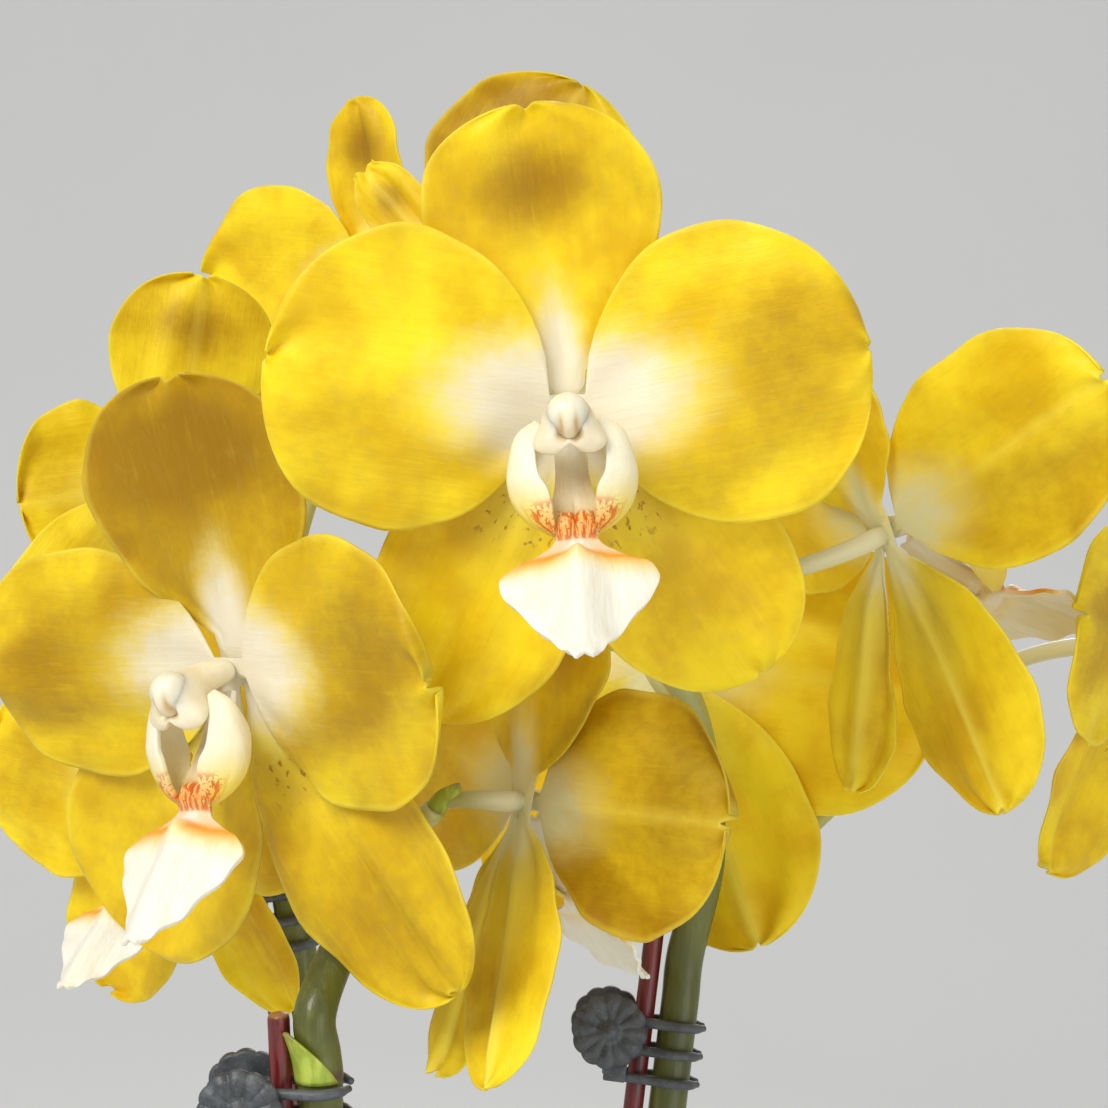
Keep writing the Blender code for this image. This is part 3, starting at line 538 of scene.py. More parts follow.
def tepal_material(name, deep, bright, front=True):
    n = Nodes(name, 0.46, Subsurface_Weight=0.22, Subsurface_Scale=0.003, Specular_IOR_Level=0.22)
    n.shader.inputs["Subsurface Radius"].default_value = (1.0, 0.55, 0.08)
    veins = n.streaks(0.95, 0.09, 5.0, 0.60)
    fine = n.streaks(2.4, 0.22, 3.0, 0.6)
    cloud = n.streaks(0.085, 0.075, 4.0, 0.55)
    blotch = n.streaks(0.45, 0.38, 4.0, 0.6)
    grain = n.streaks(3.2, 2.6, 2.0, 0.5)
    body = n.blend(cloud, 0.32, 0.66, deep, bright)
    # Darkening towards deep golden brown: partly the blade's own deeper tone, partly painted shade, with
    # random blotches.
    gold = n.math("ADD", n.attribute("gold"), n.span(blotch, 0.35, 0.70, -0.04, 0.05))
    body = n.blend(gold, 0.0, 1.0, body, (0.33, 0.180, 0.002))
    body = n.tinge(body, veins, 0.50, 0.78, 0.14, (0.56, 0.30, 0.003))
    body = n.tinge(body, veins, 0.46, 0.26, 0.12, (0.98, 0.76, 0.03))
    body = n.tinge(body, fine, 0.52, 0.78, 0.06, (0.60, 0.36, 0.01))
    body = n.mask(body, "lime", (0.60, 0.54, 0.07))
    # Painted highlight along the rim.
    body = n.mask(body, "pale_rim", (0.98, 0.80, 0.10))
    # On the back, a painted highlight along the midrib's keel.
    if not front:
        body = n.mix(n.math("MULTIPLY", n.attribute("keel"), 0.7), body, (0.98, 0.80, 0.10))
    cream = n.math("ADD", n.attribute("cream"), n.span(blotch, 0.25, 0.75, -0.08, 0.08))
    cream = n.math("ADD", cream, n.span(fine, 0.30, 0.70, -0.02, 0.02))
    if front:
        body = n.tinge(body, cream, 0.0, 0.45, 0.45, (0.94, 0.80, 0.26))
        body = n.tinge(body, cream, 0.25, 0.95, 0.95, (0.83, 0.76, 0.60))
        specks = n.streaks(1.1, 0.6, 2.0, 0.5)
        marks = n.math("MULTIPLY", n.span(specks, 0.60, 0.68), n.attribute("speck"))
        body = n.mix(n.math("MULTIPLY", marks, 0.75), body, (0.24, 0.08, 0.014))
    else:
        body = n.tinge(body, cream, 0.10, 0.80, 0.45, (0.92, 0.80, 0.30))
        body = n.tinge(body, cream, 0.60, 1.05, 0.80, (0.74, 0.74, 0.46))
    n.colour(body)
    n.rough(n.span(grain, 0.2, 0.8, 0.40, 0.54))
    height = n.math("ADD", n.math("MULTIPLY", veins, 0.8), n.math("MULTIPLY", fine, 0.25))
    height = n.math("ADD", height, n.math("MULTIPLY", grain, 0.14))
    n.bump(height, 0.00030, 0.60)
    return n.mat


def lip_material(name, front=True):
    n = Nodes(name, 0.40, Subsurface_Weight=0.30, Subsurface_Scale=0.003, Specular_IOR_Level=0.4)
    n.shader.inputs["Subsurface Radius"].default_value = (1.0, 0.75, 0.45)
    veins = n.streaks(1.0, 0.25, 4.0, 0.6)
    stripes = n.streaks(2.1, 0.30, 3.0, 0.6)
    dots = n.streaks(2.0, 1.6, 2.0, 0.5)
    body = n.blend(veins, 0.3, 0.7, (0.84, 0.80, 0.66), (0.91, 0.88, 0.76))
    body = n.tinge(body, veins, 0.55, 0.75, 0.22, (0.62, 0.66, 0.50))
    shown = 1.0 if front else 0.12
    body = n.mask(body, "tan", (0.66, 0.48, 0.22))
    body = n.mix(n.math("MULTIPLY", n.attribute("yellow"), 1.0 if front else 0.5), body, (0.90, 0.68, 0.07))
    body = n.mix(n.math("MULTIPLY", n.attribute("peach"), shown), body, (0.88, 0.55, 0.26))
    body = n.mix(n.math("MULTIPLY", n.attribute("orange"), shown), body, (0.88, 0.33, 0.012))
    lines = n.math("MAXIMUM", n.span(stripes, 0.48, 0.56), n.span(dots, 0.56, 0.64))
    marks = n.math("MULTIPLY", lines, n.math("MULTIPLY", n.attribute("callus"), shown))
    body = n.mix(marks, body, (0.66, 0.13, 0.004))
    n.colour(body)
    n.bump(n.math("ADD", veins, n.math("MULTIPLY", stripes, n.attribute("callus"))), 0.00030, 0.8)
    return n.mat


def column_material():
    n = Nodes("column_flesh", 0.34, Subsurface_Weight=0.40, Subsurface_Scale=0.004)
    n.shader.inputs["Subsurface Radius"].default_value = (1.0, 0.8, 0.5)
    cloud = n.cloud((300, 300, 300), 3.0)
    body = n.blend(cloud, 0.3, 0.7, (0.84, 0.75, 0.52), (0.90, 0.84, 0.66))
    # Beige tone on the column's wings, and painted shade in its hollow and in the cap's dents and beak.
    body = n.mask(body, "tan", (0.62, 0.42, 0.17))
    n.colour(body)
    n.bump(n.cloud((900, 900, 900), 2.0), 0.0001, 0.6)
    return n.mat


def stem_material():
    n = Nodes("stem_skin", 0.40, Subsurface_Weight=0.12, Subsurface_Scale=0.003, Coat_Weight=0.15)
    lines = n.cloud((900, 900, 40), 3.0)
    cloud = n.cloud((60, 60, 30), 3.0)
    body = n.blend(cloud, 0.35, 0.65, (0.070, 0.082, 0.010), (0.135, 0.150, 0.020))
    body = n.tinge(body, lines, 0.50, 0.72, 0.40, (0.20, 0.21, 0.035))
    body = n.mask(body, "ring", (0.10, 0.045, 0.022))
    body = n.mask(body, "pale", (0.62, 0.62, 0.22))
    body = n.mask(body, "white", (0.84, 0.80, 0.56))
    n.colour(body)
    n.rough(n.span(cloud, 0.2, 0.8, 0.34, 0.52))
    n.bump(n.math("ADD", lines, n.math("MULTIPLY", cloud, 0.5)), 0.00025, 0.7)
    return n.mat


def bract_material():
    n = Nodes("bract_skin", 0.38, Subsurface_Weight=0.25, Subsurface_Scale=0.003)
    veins = n.cloud((700, 700, 90), 4.0)
    body = n.blend(veins, 0.3, 0.7, (0.28, 0.38, 0.03), (0.52, 0.60, 0.09))
    body = n.mask(body, "ring", (0.16, 0.08, 0.03))
    n.colour(body)
    n.bump(veins, 0.0003, 0.7)
    return n.mat


def leaf_material():
    n = Nodes("leaf_skin", 0.32, Coat_Weight=0.25, Coat_Roughness=0.25)
    veins = n.streaks(0.9, 0.035, 4.0, 0.6)
    cloud = n.streaks(0.07, 0.03, 3.0, 0.5)
    body = n.blend(cloud, 0.3, 0.7, (0.022, 0.075, 0.012), (0.050, 0.130, 0.022))
    body = n.tinge(body, veins, 0.50, 0.72, 0.35, (0.085, 0.19, 0.04))
    body = n.mask(body, "midrib", (0.14, 0.25, 0.06))
    n.colour(body)
    n.rough(n.span(cloud, 0.2, 0.8, 0.26, 0.42))
    n.bump(veins, 0.0005, 0.6)
    return n.mat


def bark_material():
    n = Nodes("bark_chip", 0.85)
    tint = n.attribute("tint")
    layers = n.cloud((220, 220, 700), 5.0, 0.65)
    body = n.mix(tint, (0.060, 0.028, 0.014), (0.26, 0.13, 0.060))
    body = n.tinge(body, layers, 0.40, 0.65, 0.6, (0.34, 0.20, 0.11))
    n.colour(body)
    n.rough(n.span(layers, 0.3, 0.7, 0.75, 0.95))
    n.bump(layers, 0.0012, 0.9)
    return n.mat


def root_material():
    n = Nodes("root_skin", 0.60)
    cloud = n.cloud((160, 160, 160), 4.0)
    body = n.blend(cloud, 0.35, 0.65, (0.34, 0.36, 0.27), (0.52, 0.52, 0.42))
    body = n.mask(body, "tip", (0.16, 0.28, 0.05))
    n.colour(body)
    n.bump(n.cloud((500, 500, 500), 3.0), 0.0003, 0.8)
    return n.mat


def pot_material():
    n = Nodes("pot_glaze", 0.22, Coat_Weight=0.5, Coat_Roughness=0.08)
    cloud = n.cloud((18, 18, 30), 4.0)
    fleck = n.flecks((420, 420, 420))
    body = n.blend(cloud, 0.35, 0.65, (0.80, 0.78, 0.73), (0.86, 0.85, 0.81))
    body = n.tinge(body, fleck, 0.13, 0.07, 0.35, (0.45, 0.40, 0.33))
    n.colour(body)
    n.rough(n.span(cloud, 0.2, 0.8, 0.18, 0.30))
    n.bump(n.cloud((90, 90, 140), 3.0), 0.0004, 0.35)
    return n.mat


def clip_material():
    n = Nodes("clip_plastic", 0.42)
    cloud = n.cloud((350, 350, 350), 4.0)
    dust = n.cloud((2200, 2200, 2200), 3.0)
    body = n.blend(cloud, 0.3, 0.7, (0.045, 0.050, 0.055), (0.095, 0.105, 0.115))
    body = n.tinge(body, dust, 0.55, 0.75, 0.35, (0.24, 0.26, 0.28))
    n.colour(body)
    n.rough(n.span(cloud, 0.2, 0.8, 0.34, 0.55))
    n.bump(dust, 0.00012, 0.6)
    return n.mat


def spring_material():
    n = Nodes("spring_steel", 0.28, Metallic=1.0)
    cloud = n.cloud((900, 900, 900), 3.0)
    n.colour(n.blend(cloud, 0.3, 0.7, (0.48, 0.47, 0.45), (0.70, 0.69, 0.66)))
    n.rough(n.span(cloud, 0.2, 0.8, 0.20, 0.40))
    return n.mat


def stake_material():
    n = Nodes("stake_paint", 0.36, Coat_Weight=0.3, Coat_Roughness=0.2)
    lines = n.cloud((1100, 1100, 30), 4.0)
    body = n.blend(lines, 0.35, 0.65, (0.085, 0.007, 0.008), (0.20, 0.018, 0.016))
    body = n.mask(body, "cut", (0.40, 0.17, 0.06))
    n.colour(body)
    n.rough(n.span(lines, 0.3, 0.7, 0.30, 0.48))
    n.bump(lines, 0.0002, 0.6)
    return n.mat


# ---------------------------------------------------------------- flowers


def blade_share(u, widest, rise, tip):
    """Half width of a blade at a share of its length, as a share of its greatest half width."""
    low = (1 - (1 - np.clip(u / widest, 0, 1)) ** 2) ** rise
    high = np.sqrt(np.clip(1 - np.clip((u - widest) / (1 - widest), 0, 1) ** tip, 0, 1))
    return np.where(u < widest, low, high)


def blade_shares(widest):
    """Shares along a blade, closer at its foot and tip, and across it, closer at its rims."""
    t = np.linspace(0, 1, BLADE_ROWS + 1)[:, None]
    foot = widest * (2 * t) ** 0.9
    tip = widest + (1 - widest) * np.sin(math.radians(86) * (2 * t - 1))
    quarter = math.pi / 2 * 0.86
    v = np.sin(np.linspace(-1, 1, BLADE_COLUMNS + 1) * quarter)[None, :] / math.sin(quarter)
    return np.where(t < 0.5, foot, tip), v


def blade_width(kind, u, v, along, change, phase):
    """Half widths in millimetres, with a wavy outline; the two lower sepals stop at the middle."""
    _, half, angle, widest, rise, tip, _, _, _ = TEPALS[kind]
    angle = math.radians(change.get("angle", angle))
    half *= change.get("width", 1.0)
    wave = 0.016 * np.sin(9 * u + phase[0] + 1.3 * np.sign(v))
    wave = wave + 0.010 * np.sin(19 * u + phase[1] - np.sign(v))
    foot = DORSAL_HUB_HALF_WIDTH if kind == "dorsal" else HUB_HALF_WIDTH
    width = np.maximum(half * blade_share(u, widest, rise, tip) * (1 + wave), foot)
    if kind.startswith("lateral"):
        off_middle = math.pi - abs(angle)
        limit = (along * math.sin(off_middle) - HALF_GAP) / math.cos(off_middle)
        inner = (v > 0) if kind == "lateral_right" else (v < 0)
        width = np.where(inner, np.minimum(width, limit), width)
    return width


def rim_waves(u, v, phase):
    return np.sin(17 * u + phase[2] + 2.1 * np.sign(v))


def broad_waves(u, v, phase):
    return np.sin(2.6 * u + 2.2 * v + phase[7])


def blade_relief(u, v, width, part, cup, phase):
    """How far a blade stands forward: cup, crease, ruffled rim, folds, hollows and crumpled tip."""
    open_share = smooth(0.0, 0.25, u)
    rim = np.abs(v) ** 4 * open_share
    crease = part["crease"] * hump(v * width, 0, 1.3) * (1 - part["crease_fade"] * u) * open_share
    ruffle = part["ruffle"] * rim * (rim_waves(u, v, phase) + 0.5 * np.sin(31 * u + phase[3]))
    roll_back = part["roll"] * np.abs(v) ** 5 * open_share
    folds = 0.45 * open_share * (np.sin(6.5 * v + phase[4]) + 0.6 * np.sin(11 * v + 4 * u + phase[5]))
    hollow = 1.5 * part["hollow"] * broad_waves(u, v, phase) * open_share
    crumple = 0.7 * smooth(0.86, 1.0, u) * np.sin(7 * v + phase[6])
    return cup * v * v * width - crease + ruffle - roll_back + crumple + (folds + hollow) * (1 - rim)


def blade_masks(u, v, along, side, part, gold, phase, seed):
    """Colour masks of a blade: cream patch, darker golden tone with painted shade, lime, painted rim
    highlight, specks and painted keel highlight.
    """
    open_share = smooth(0.0, 0.25, u)
    rim = np.abs(v) ** 4 * open_share
    level = np.ones_like(side)
    reach_along, reach_across = part["cream"]
    cream_spread = np.hypot(along / reach_along, side / reach_across)
    lime_spread = np.hypot(along / 32, side / 12)
    near_rim = np.maximum(np.abs(v), smooth(0.93, 1.0, u))
    thin_rim = np.maximum(np.abs(v), smooth(0.8, 1.0, u))
    # Painted shade: a band across the upper blade, the troughs of the ruffled rim and the broad hollows.
    shade = part["band"] * hump(u, 0.72, 0.16) * hump(v, 0, 0.62)
    shade = shade + 0.25 * rim * smooth(0.2, 0.9, -rim_waves(u, v, phase))
    shade = shade + part["lower"] * smooth(0.1, 0.7, broad_waves(u, v, phase))
    specks = smooth(12, 16, along) * (1 - smooth(20, 25, along)) * (1 - smooth(5, 9, np.abs(side)))
    return {
        "along": along * level, "across": side, "seed": seed * level,
        # The golden darkening takes the blade's own tone and the painted shade.
        "cream": 1 - smooth(0.30, 1.25, cream_spread), "gold": gold + shade * 0.75,
        "lime": part["lime"] * (1 - smooth(0.3, 1.1, lime_spread)),
        # Painted highlight along the rim.
        "pale_rim": 0.30 * smooth(0.93, 1.0, near_rim) * open_share,
        "speck": part["speck"] * specks * level,
        # Painted highlight along the keel of the back.
        "keel": part["keel"] * hump(side, 0, 1.0) * smooth(0.1, 0.3, u) * level,
        "thick": 1 - (1 - EDGE_SHARE) * smooth(0.75, 1.0, thin_rim),
    }


def tepal_grid(kind, change, gold, rng):
    """Points of one sepal or petal in millimetres, with its colour masks."""
    length, _, angle, widest, _, _, tilt, bend, cup = TEPALS[kind]
    part = PARTS[kind.split("_")[0]]
    length *= change.get("length", 1.0)
    angle = math.radians(change.get("angle", angle))
    tilt += change.get("tilt", 0.0)
    phase = [rng.uniform(0, 2 * math.pi) for _ in range(8)]
    seed = rng.uniform(0, 40)
    u, v = blade_shares(widest)
    along = HUB_RADIUS + (length - HUB_RADIUS) * u
    width = blade_width(kind, u, v, along, change, phase)
    side = v * width
    lift = blade_relief(u, v, width, part, cup, phase)
    twist = math.radians(change.get("twist", 0.0)) * np.minimum(1.0, u / 0.3)
    across = side * np.cos(twist) - lift * np.sin(twist)
    lift = side * np.sin(twist) + lift * np.cos(twist)
    run = along * math.cos(math.atan(tilt))
    forward = tilt * (run - HUB_RADIUS) + bend * (along - HUB_RADIUS) * u + lift
    run = run - part["notch"] * smooth(0.93, 1.0, u) * hump(v, 0, 0.30)
    out = np.array([math.sin(angle), 0.0, math.cos(angle)])
    over = np.array([math.cos(angle), 0.0, -math.sin(angle)])
    points = run[..., None] * out + across[..., None] * over
    points[..., 1] -= forward
    # A blade's own change in golden darkening, mostly painting the shade or light that falls on it.
    gold += change.get("gold", 0.0)
    return points, blade_masks(u, v, along, side, part, gold, phase, seed)


def flat(masks):
    """Masks as one value for each vertex."""
    return {key: mask.ravel() for key, mask in masks.items()}


def blades(name, kinds, changes, gold, setback, scale, place, rng, mats):
    """Blades on one hub as a thin shell: the front sheet, the back sheet and the rim between them."""
    shape = Shape()
    hub = []
    columns = BLADE_COLUMNS + 1
    back = np.array([0, setback, 0])
    for kind in kinds:
        points, masks = tepal_grid(kind, changes.get(kind, {}), gold, rng)
        start = shape.add((points + back) * MM * scale, grid_faces(BLADE_ROWS + 1, columns), **flat(masks))
        hub += [start + j for j in range(columns - 1, -1, -1)]
    centre = shape.add(back * MM * scale, [], cream=1.0, thick=1.0)
    shape.faces += [(hub[k], hub[(k + 1) % len(hub)], centre) for k in range(len(hub))]
    shape.slots += [0] * len(hub)
    obj = shape.make(name, mats)
    obj.data.transform(place)
    group = obj.vertex_groups.new(name="thick")
    for index, value in enumerate(np.concatenate(shape.attributes["thick"])):
        group.add([index], float(value), "REPLACE")
    mod = thicken(obj, BLADE_THICKNESS * MM * scale)
    mod.material_offset = 1
    mod.vertex_group = "thick"
    mod.thickness_vertex_group = 0.05
    return obj


def lip_relief(at, v, across):
    """How far the lip's sheet stands off its path: callus, tooth and tented middle lobe."""
    lobe = smooth(7.6, 9.2, at)
    up = 1.9 * hump(at, 5.0, 0.85, 4) * hump(across, 0, 3.1, 4)
    up = up - 0.7 * hump(at, 4.6, 1.2, 4) * hump(across, 0, 0.55)
    up = up + 1.3 * hump(at, 8.3, 0.75) * hump(across, 0, 0.9)
    up = up + 1.0 * hump(at, 9.1, 0.7) * hump(across, 0, 7.0, 4)
    up = up + 1.0 * lobe * hump(across, 0, 2.0) * (1 - 0.8 * smooth(11, 14, at))
    up = up - 0.7 * lobe * (1 - smooth(12, 14, at)) * hump(np.abs(across), 4.6, 1.8)
    return up + 0.30 * lobe * np.abs(v) ** 3 * np.sin(4.2 * at + 2.0 * np.sign(v))


def lip_masks(at, v, across):
    """Colour masks of the lip's sheet: beige claw, striped callus, orange neck and peach shoulders."""
    level = np.ones_like(across)
    orange = 0.95 * hump(at, 8.35, 0.80) * (1 - 0.9 * hump(across, 0, 0.8)) + 0.75 * hump(at, 5.3, 1.0)
    masks = {
        "tan": 0.80 * smooth(0.6, 3.0, at) * (1 - smooth(3.9, 4.4, at)) * (0.6 + 0.4 * np.abs(v)),
        "yellow": (0.6 * hump(at, 8.9, 0.75) + 0.5 * hump(at, 5.0, 1.1, 4)) * level,
        "peach": 0.65 * hump(at, 7.0, 0.9) * smooth(0.1, 0.6, np.abs(v)),
        "orange": orange, "callus": hump(at, 5.15, 1.05, 6) * hump(across, 0, 4.0, 6),
    }
    masks = {key: np.clip(mask, 0, 1) for key, mask in masks.items()}
    return {"along": at * 2.4 * level, "across": across, "seed": 5.0 * level, **masks}


def lip_sheet():
    """The claw, callus, neck and tented middle lobe as one sheet of points, with its colour masks."""
    rows, columns = 76, 33
    stations = through(LIP, rows)
    forward, height, half, sides_up = (stations[:, k:k + 1] for k in range(4))
    at = np.linspace(0, len(LIP) - 1, rows)[:, None]
    path = np.hstack([np.zeros((rows, 1)), -forward, height])
    tangent = np.gradient(path, axis=0)
    tangent /= np.linalg.norm(tangent, axis=1)[:, None]
    inner = np.cross(tangent, (1.0, 0.0, 0.0))
    inner *= np.sign(inner[:, 2] - inner[:, 1])[:, None]
    v = np.linspace(-1, 1, columns)[None, :]
    across = np.maximum(half, 0.5) * v
    up = sides_up * np.abs(v) ** 1.3 + lip_relief(at, v, across)
    points = path[:, None, :] + up[..., None] * inner[:, None, :]
    points[..., 0] += across
    points[..., 1] -= 0.8 * smooth(13.6, 15, at) * np.abs(v)
    return points, lip_masks(at, v, across)


def side_lobe(side):
    """One erect side lobe, cupped round the column, with its colour masks."""
    rows, columns = 30, 15
    rear, belly, front = [through(curve, rows)[:, None] for curve in (LOBE_REAR, LOBE_BELLY, LOBE_FRONT)]
    t = np.linspace(0, 1, columns)[None, :, None]
    # A curve over the three edges that passes through the belly at its middle.
    handle = 2 * belly - 0.5 * (rear + front)
    grid = (1 - t) ** 2 * rear + 2 * t * (1 - t) * handle + t ** 2 * front
    points = grid * np.array([side, -1, 1])
    along = np.linspace(0, 1, rows)[:, None]
    over = np.linspace(0, 1, columns)[None, :]
    points[..., 0] += side * 0.12 * np.sin(9 * along + 5 * over)
    level = np.ones((rows, columns))
    masks = {
        "along": 22 * (1 - along) * level, "across": 8 * over * level, "seed": 9.0 * level,
        "tan": 0 * level, "peach": 0 * level,
        "yellow": (0.20 + 0.75 * smooth(0.30, 0.80, along)) * (1 - 0.4 * smooth(0.75, 1.0, over)),
        "orange": 0.55 * smooth(0.62, 0.85, along) * smooth(0.6, 0.9, over),
        "callus": smooth(0.58, 0.72, along) * (1 - smooth(0.93, 0.99, along)) * smooth(0.62, 0.85, over),
    }
    return points, masks


def lip(name, turn, scale, place, mats):
    """Middle lobe and two side lobes; sheets with their back to the viewer are flipped."""
    shape = Shape()
    for (points, masks), flip in ((lip_sheet(), True), (side_lobe(1), False), (side_lobe(-1), True)):
        faces = grid_faces(*points.shape[:2])
        if flip:
            faces = [face[::-1] for face in faces]
        shape.add(points * MM * scale, faces, **flat(masks))
    obj = shape.make(name, mats)
    obj.data.transform(place @ Matrix.Rotation(math.radians(turn), 4, "Y"))
    thicken(obj, LIP_THICKNESS * MM * scale).material_offset = 1
    soften(obj, LIP_EDGE_ROUND * MM * scale)
    return obj


def column_rings():
    """Rings of the column from its foot to its hollow face, with the beige tone and painted shade of each
    point.
    """
    rows, sides = 36, 44
    stations = through(COLUMN, rows)
    forward, height, half, top, bottom, wings = (stations[:, k:k + 1] for k in range(6))
    turn = np.linspace(0, 2 * math.pi, sides, endpoint=False)[None, :]
    from_top = np.arccos(np.clip(np.cos(turn), -1, 1))
    hollow = wings * hump(from_top, math.pi, 0.42)
    x = half * np.sin(turn) * (1 + 0.85 * wings * hump(from_top, 2.25, 0.42))
    z = np.where(np.cos(turn) >= 0, top, bottom) * np.cos(turn) + 0.55 * bottom * hollow
    points = np.stack([x, -forward + 0 * x, height + z], axis=-1)
    face = points[-1]
    middle = face.mean(axis=0)
    # The last rings turn in and back, so that the front closes on a hollow: share of the face, depth, and
    # the painted shade that deepens into the hollow.
    turned_in = ((0.86, -0.15, 0.25), (0.70, 0.10, 0.40), (0.52, 0.9, 0.75), (0.30, 1.7, 0.95),
                 (0.12, 2.0, 0.95))
    closing = [middle + (face - middle) * share + np.array([0, depth, 0]) for share, depth, _ in turned_in]
    # Beige on the wings, and painted shade in the hollow between them.
    tan = 0.15 * smooth(0.2, 0.8, wings) + 0.6 * hollow
    closing_shade = [np.full((1, sides), shade) for _, _, shade in turned_in]
    return np.concatenate([points, closing]), np.concatenate([tan, *closing_shade])


def anther_cap():
    """Rings of the beaked cap at the column's end, with the painted shadow of each point in its dents and
    on its beak.
    """
    rings, around = 20, 32
    down = np.linspace(0.05, math.pi - 0.05, rings)[:, None]
    turn = np.linspace(0, 2 * math.pi, around, endpoint=False)[None, :]
    x = np.sin(down) * np.sin(turn)
    y = -np.sin(down) * np.cos(turn)
    z = np.cos(down) * np.ones_like(turn)
    beak = smooth(0.45, 1.0, -0.80 * z - 0.60 * y) * hump(x, 0, 0.35)
    dent = hump(np.abs(x), 0.38, 0.14) * smooth(0.1, 0.6, -y) * smooth(0.5, -0.5, z)
    radius = CAP_RADIUS + 0.65 * beak - 0.38 * dent
    forward, height = CAP_PLACE
    points = np.stack([radius * x * 0.98, radius * y * 0.95 - forward, radius * z * 0.98 + height], axis=-1)
    # Painted shadow in the dents and on the beak.
    return points, np.clip(0.9 * dent + 0.45 * beak, 0, 1)


def column(name, scale, place, mat):
    """The column: a rod that widens into two low wings with a hollow between, under a beaked cap."""
    shape = Shape()
    # Painted shade at the deep end of the hollow and at the underside of the cap.
    for (rings, tan), end_shade in ((column_rings(), 0.8), (anther_cap(), 0.3)):
        verts, faces = capped(rings)
        shape.add(verts * MM * scale, faces, tan=np.concatenate([tan.ravel(), [0.0, end_shade]]))
    obj = outward(shape.make(name, [mat]))
    obj.data.transform(place)
    return obj


def flower_place(name):
    """A flower's placing as one matrix, with its scale and the changes to its pieces."""
    centre, yaw, pitch, roll, scale, changes = FLOWERS[name]
    turn = (Matrix.Rotation(math.radians(yaw), 4, "Z") @ Matrix.Rotation(math.radians(pitch), 4, "X")
            @ Matrix.Rotation(math.radians(roll), 4, "Y"))
    return Matrix.Translation(centre) @ turn, scale, changes


def flowers():
    """The flowers, each as sepals, petals, lip and column."""
    sepal_mats = [tepal_material("sepal_flesh", (0.72, 0.455, 0.005), (0.95, 0.68, 0.010)),
                  tepal_material("sepal_back", (0.74, 0.475, 0.005), (0.95, 0.69, 0.014), front=False)]
    petal_mats = [tepal_material("petal_flesh", (0.78, 0.505, 0.005), (0.98, 0.72, 0.014)),
                  tepal_material("petal_back", (0.80, 0.520, 0.006), (0.97, 0.72, 0.018), front=False)]
    lip_mats = [lip_material("lip_flesh"), lip_material("lip_back", front=False)]
    column_mat = column_material()
    whorls = (("sepal", ("dorsal", "lateral_left", "lateral_right"), SEPAL_SETBACK, sepal_mats),
              ("petal", ("petal_left", "petal_right"), 0.0, petal_mats))
    for number, name in enumerate(FLOWERS):
        place, scale, changes = flower_place(name)
        rng = random.Random(100 + number)
        for whorl, kinds, setback, mats in whorls:
            sheet_name = name + "_" + whorl + "_blades"
            obj = blades(sheet_name, kinds, changes, GOLD_AND_SHADE[name], setback, scale, place, rng, mats)
            stands_for(obj, PLANT, whorl + "s", name + "_" + whorl + "s")
        turn = changes.get("lip", {}).get("turn", 0.0)
        stands_for(lip(name + "_lip_sheet", turn, scale, place, lip_mats), PLANT, "lip", name + "_lip")
        obj = column(name + "_column_body", scale, place, column_mat)
        stands_for(obj, PLANT, "column", name + "_column")


# ---------------------------------------------------------------- spikes, stakes and clips


def stake_axis(name):
    """Direction of a stake from the bark up to its clip."""
    base, held = STAKES[name][:2]
    return (held - base).normalized()


def clip_frame(name):
    """A clip's own frame: origin on its pivot, X towards the stem, Z up along the stake."""
    axis = stake_axis(name)
    side = (Vector((1, 0, 0)) - axis * axis.x).normalized()
    turn = Matrix((side, axis.cross(side), axis)).transposed().to_4x4()
    return Matrix.Translation(STAKES[name][1] - side * PIVOT_TO_STAKE) @ turn


def stalk_route(name):
    """Points from a flower stalk's foot on the stem to the back of its flower."""
    place, scale, _ = flower_place(name)
    back = (SEPAL_SETBACK + STALK_TO_SEPALS) * MM * scale
    points = [Vector(p) for p in STALKS[name][1]]
    end = place @ Vector((0, back, 0))
    level = place @ Vector((0, back + STALK_STRAIGHT, 0))
    start = points[-1]
    gap = (level - start).length
    handle = place @ Vector((0, back + STALK_STRAIGHT + 0.40 * gap, 0))
    leave = Vector((0, 0, 0.20 * gap))
    route = []
    if len(points) > 1:
        leave = (start - points[-2]).normalized() * 0.35 * gap
        route = [Vector(p) for p in through(points, 8 * len(points))][:-1]
    for t in np.linspace(0, 1, 25):
        route.append((1 - t) ** 3 * start + 3 * (1 - t) ** 2 * t * (start + leave)
                     + 3 * (1 - t) * t ** 2 * handle + t ** 3 * level)
    return np.array(route + [end])


def scale_leaf(shape, at, axis, facing, length, width, lift):
    """A small pointed bract clasping a stem at a point, opening upwards."""
    rows, columns = 12, 13
    axis, facing = Vector(axis).normalized(), Vector(facing)
    facing = (facing - axis * facing.dot(axis)).normalized()
    side = np.array(axis.cross(facing))
    share = np.linspace(0, 1, rows)[:, None, None]
    middle = np.array(at) + np.array(axis) * length * share
    half = math.radians(105) * (1 - share) ** 0.8 + 0.05
    around = half * np.linspace(-1, 1, columns)[None, :, None]
    radius = width * (1 + lift * share * share)
    outer = middle + (np.array(facing) * np.cos(around) + side * np.sin(around)) * radius
    inner = middle + (outer - middle) * (1 - BRACT_THICKNESS / width)
    ring = np.tile(np.repeat(0.6 * smooth(0.75, 1.0, share.ravel()), columns), 2)
    n = rows * columns
    faces = grid_faces(rows, columns) + [face[::-1] for face in grid_faces(rows, columns, start=n)]
    border = [*range(columns), *(i * columns + columns - 1 for i in range(1, rows)),
              *((rows - 1) * columns + j for j in range(columns - 2, -1, -1)),
              *(i * columns for i in range(rows - 2, 0, -1))]
    for k, a in enumerate(border):
        b = border[(k + 1) % len(border)]
        faces.append((a, n + a, n + b, b))
    shape.add(np.stack([outer, inner]), faces, 1, ring=ring)


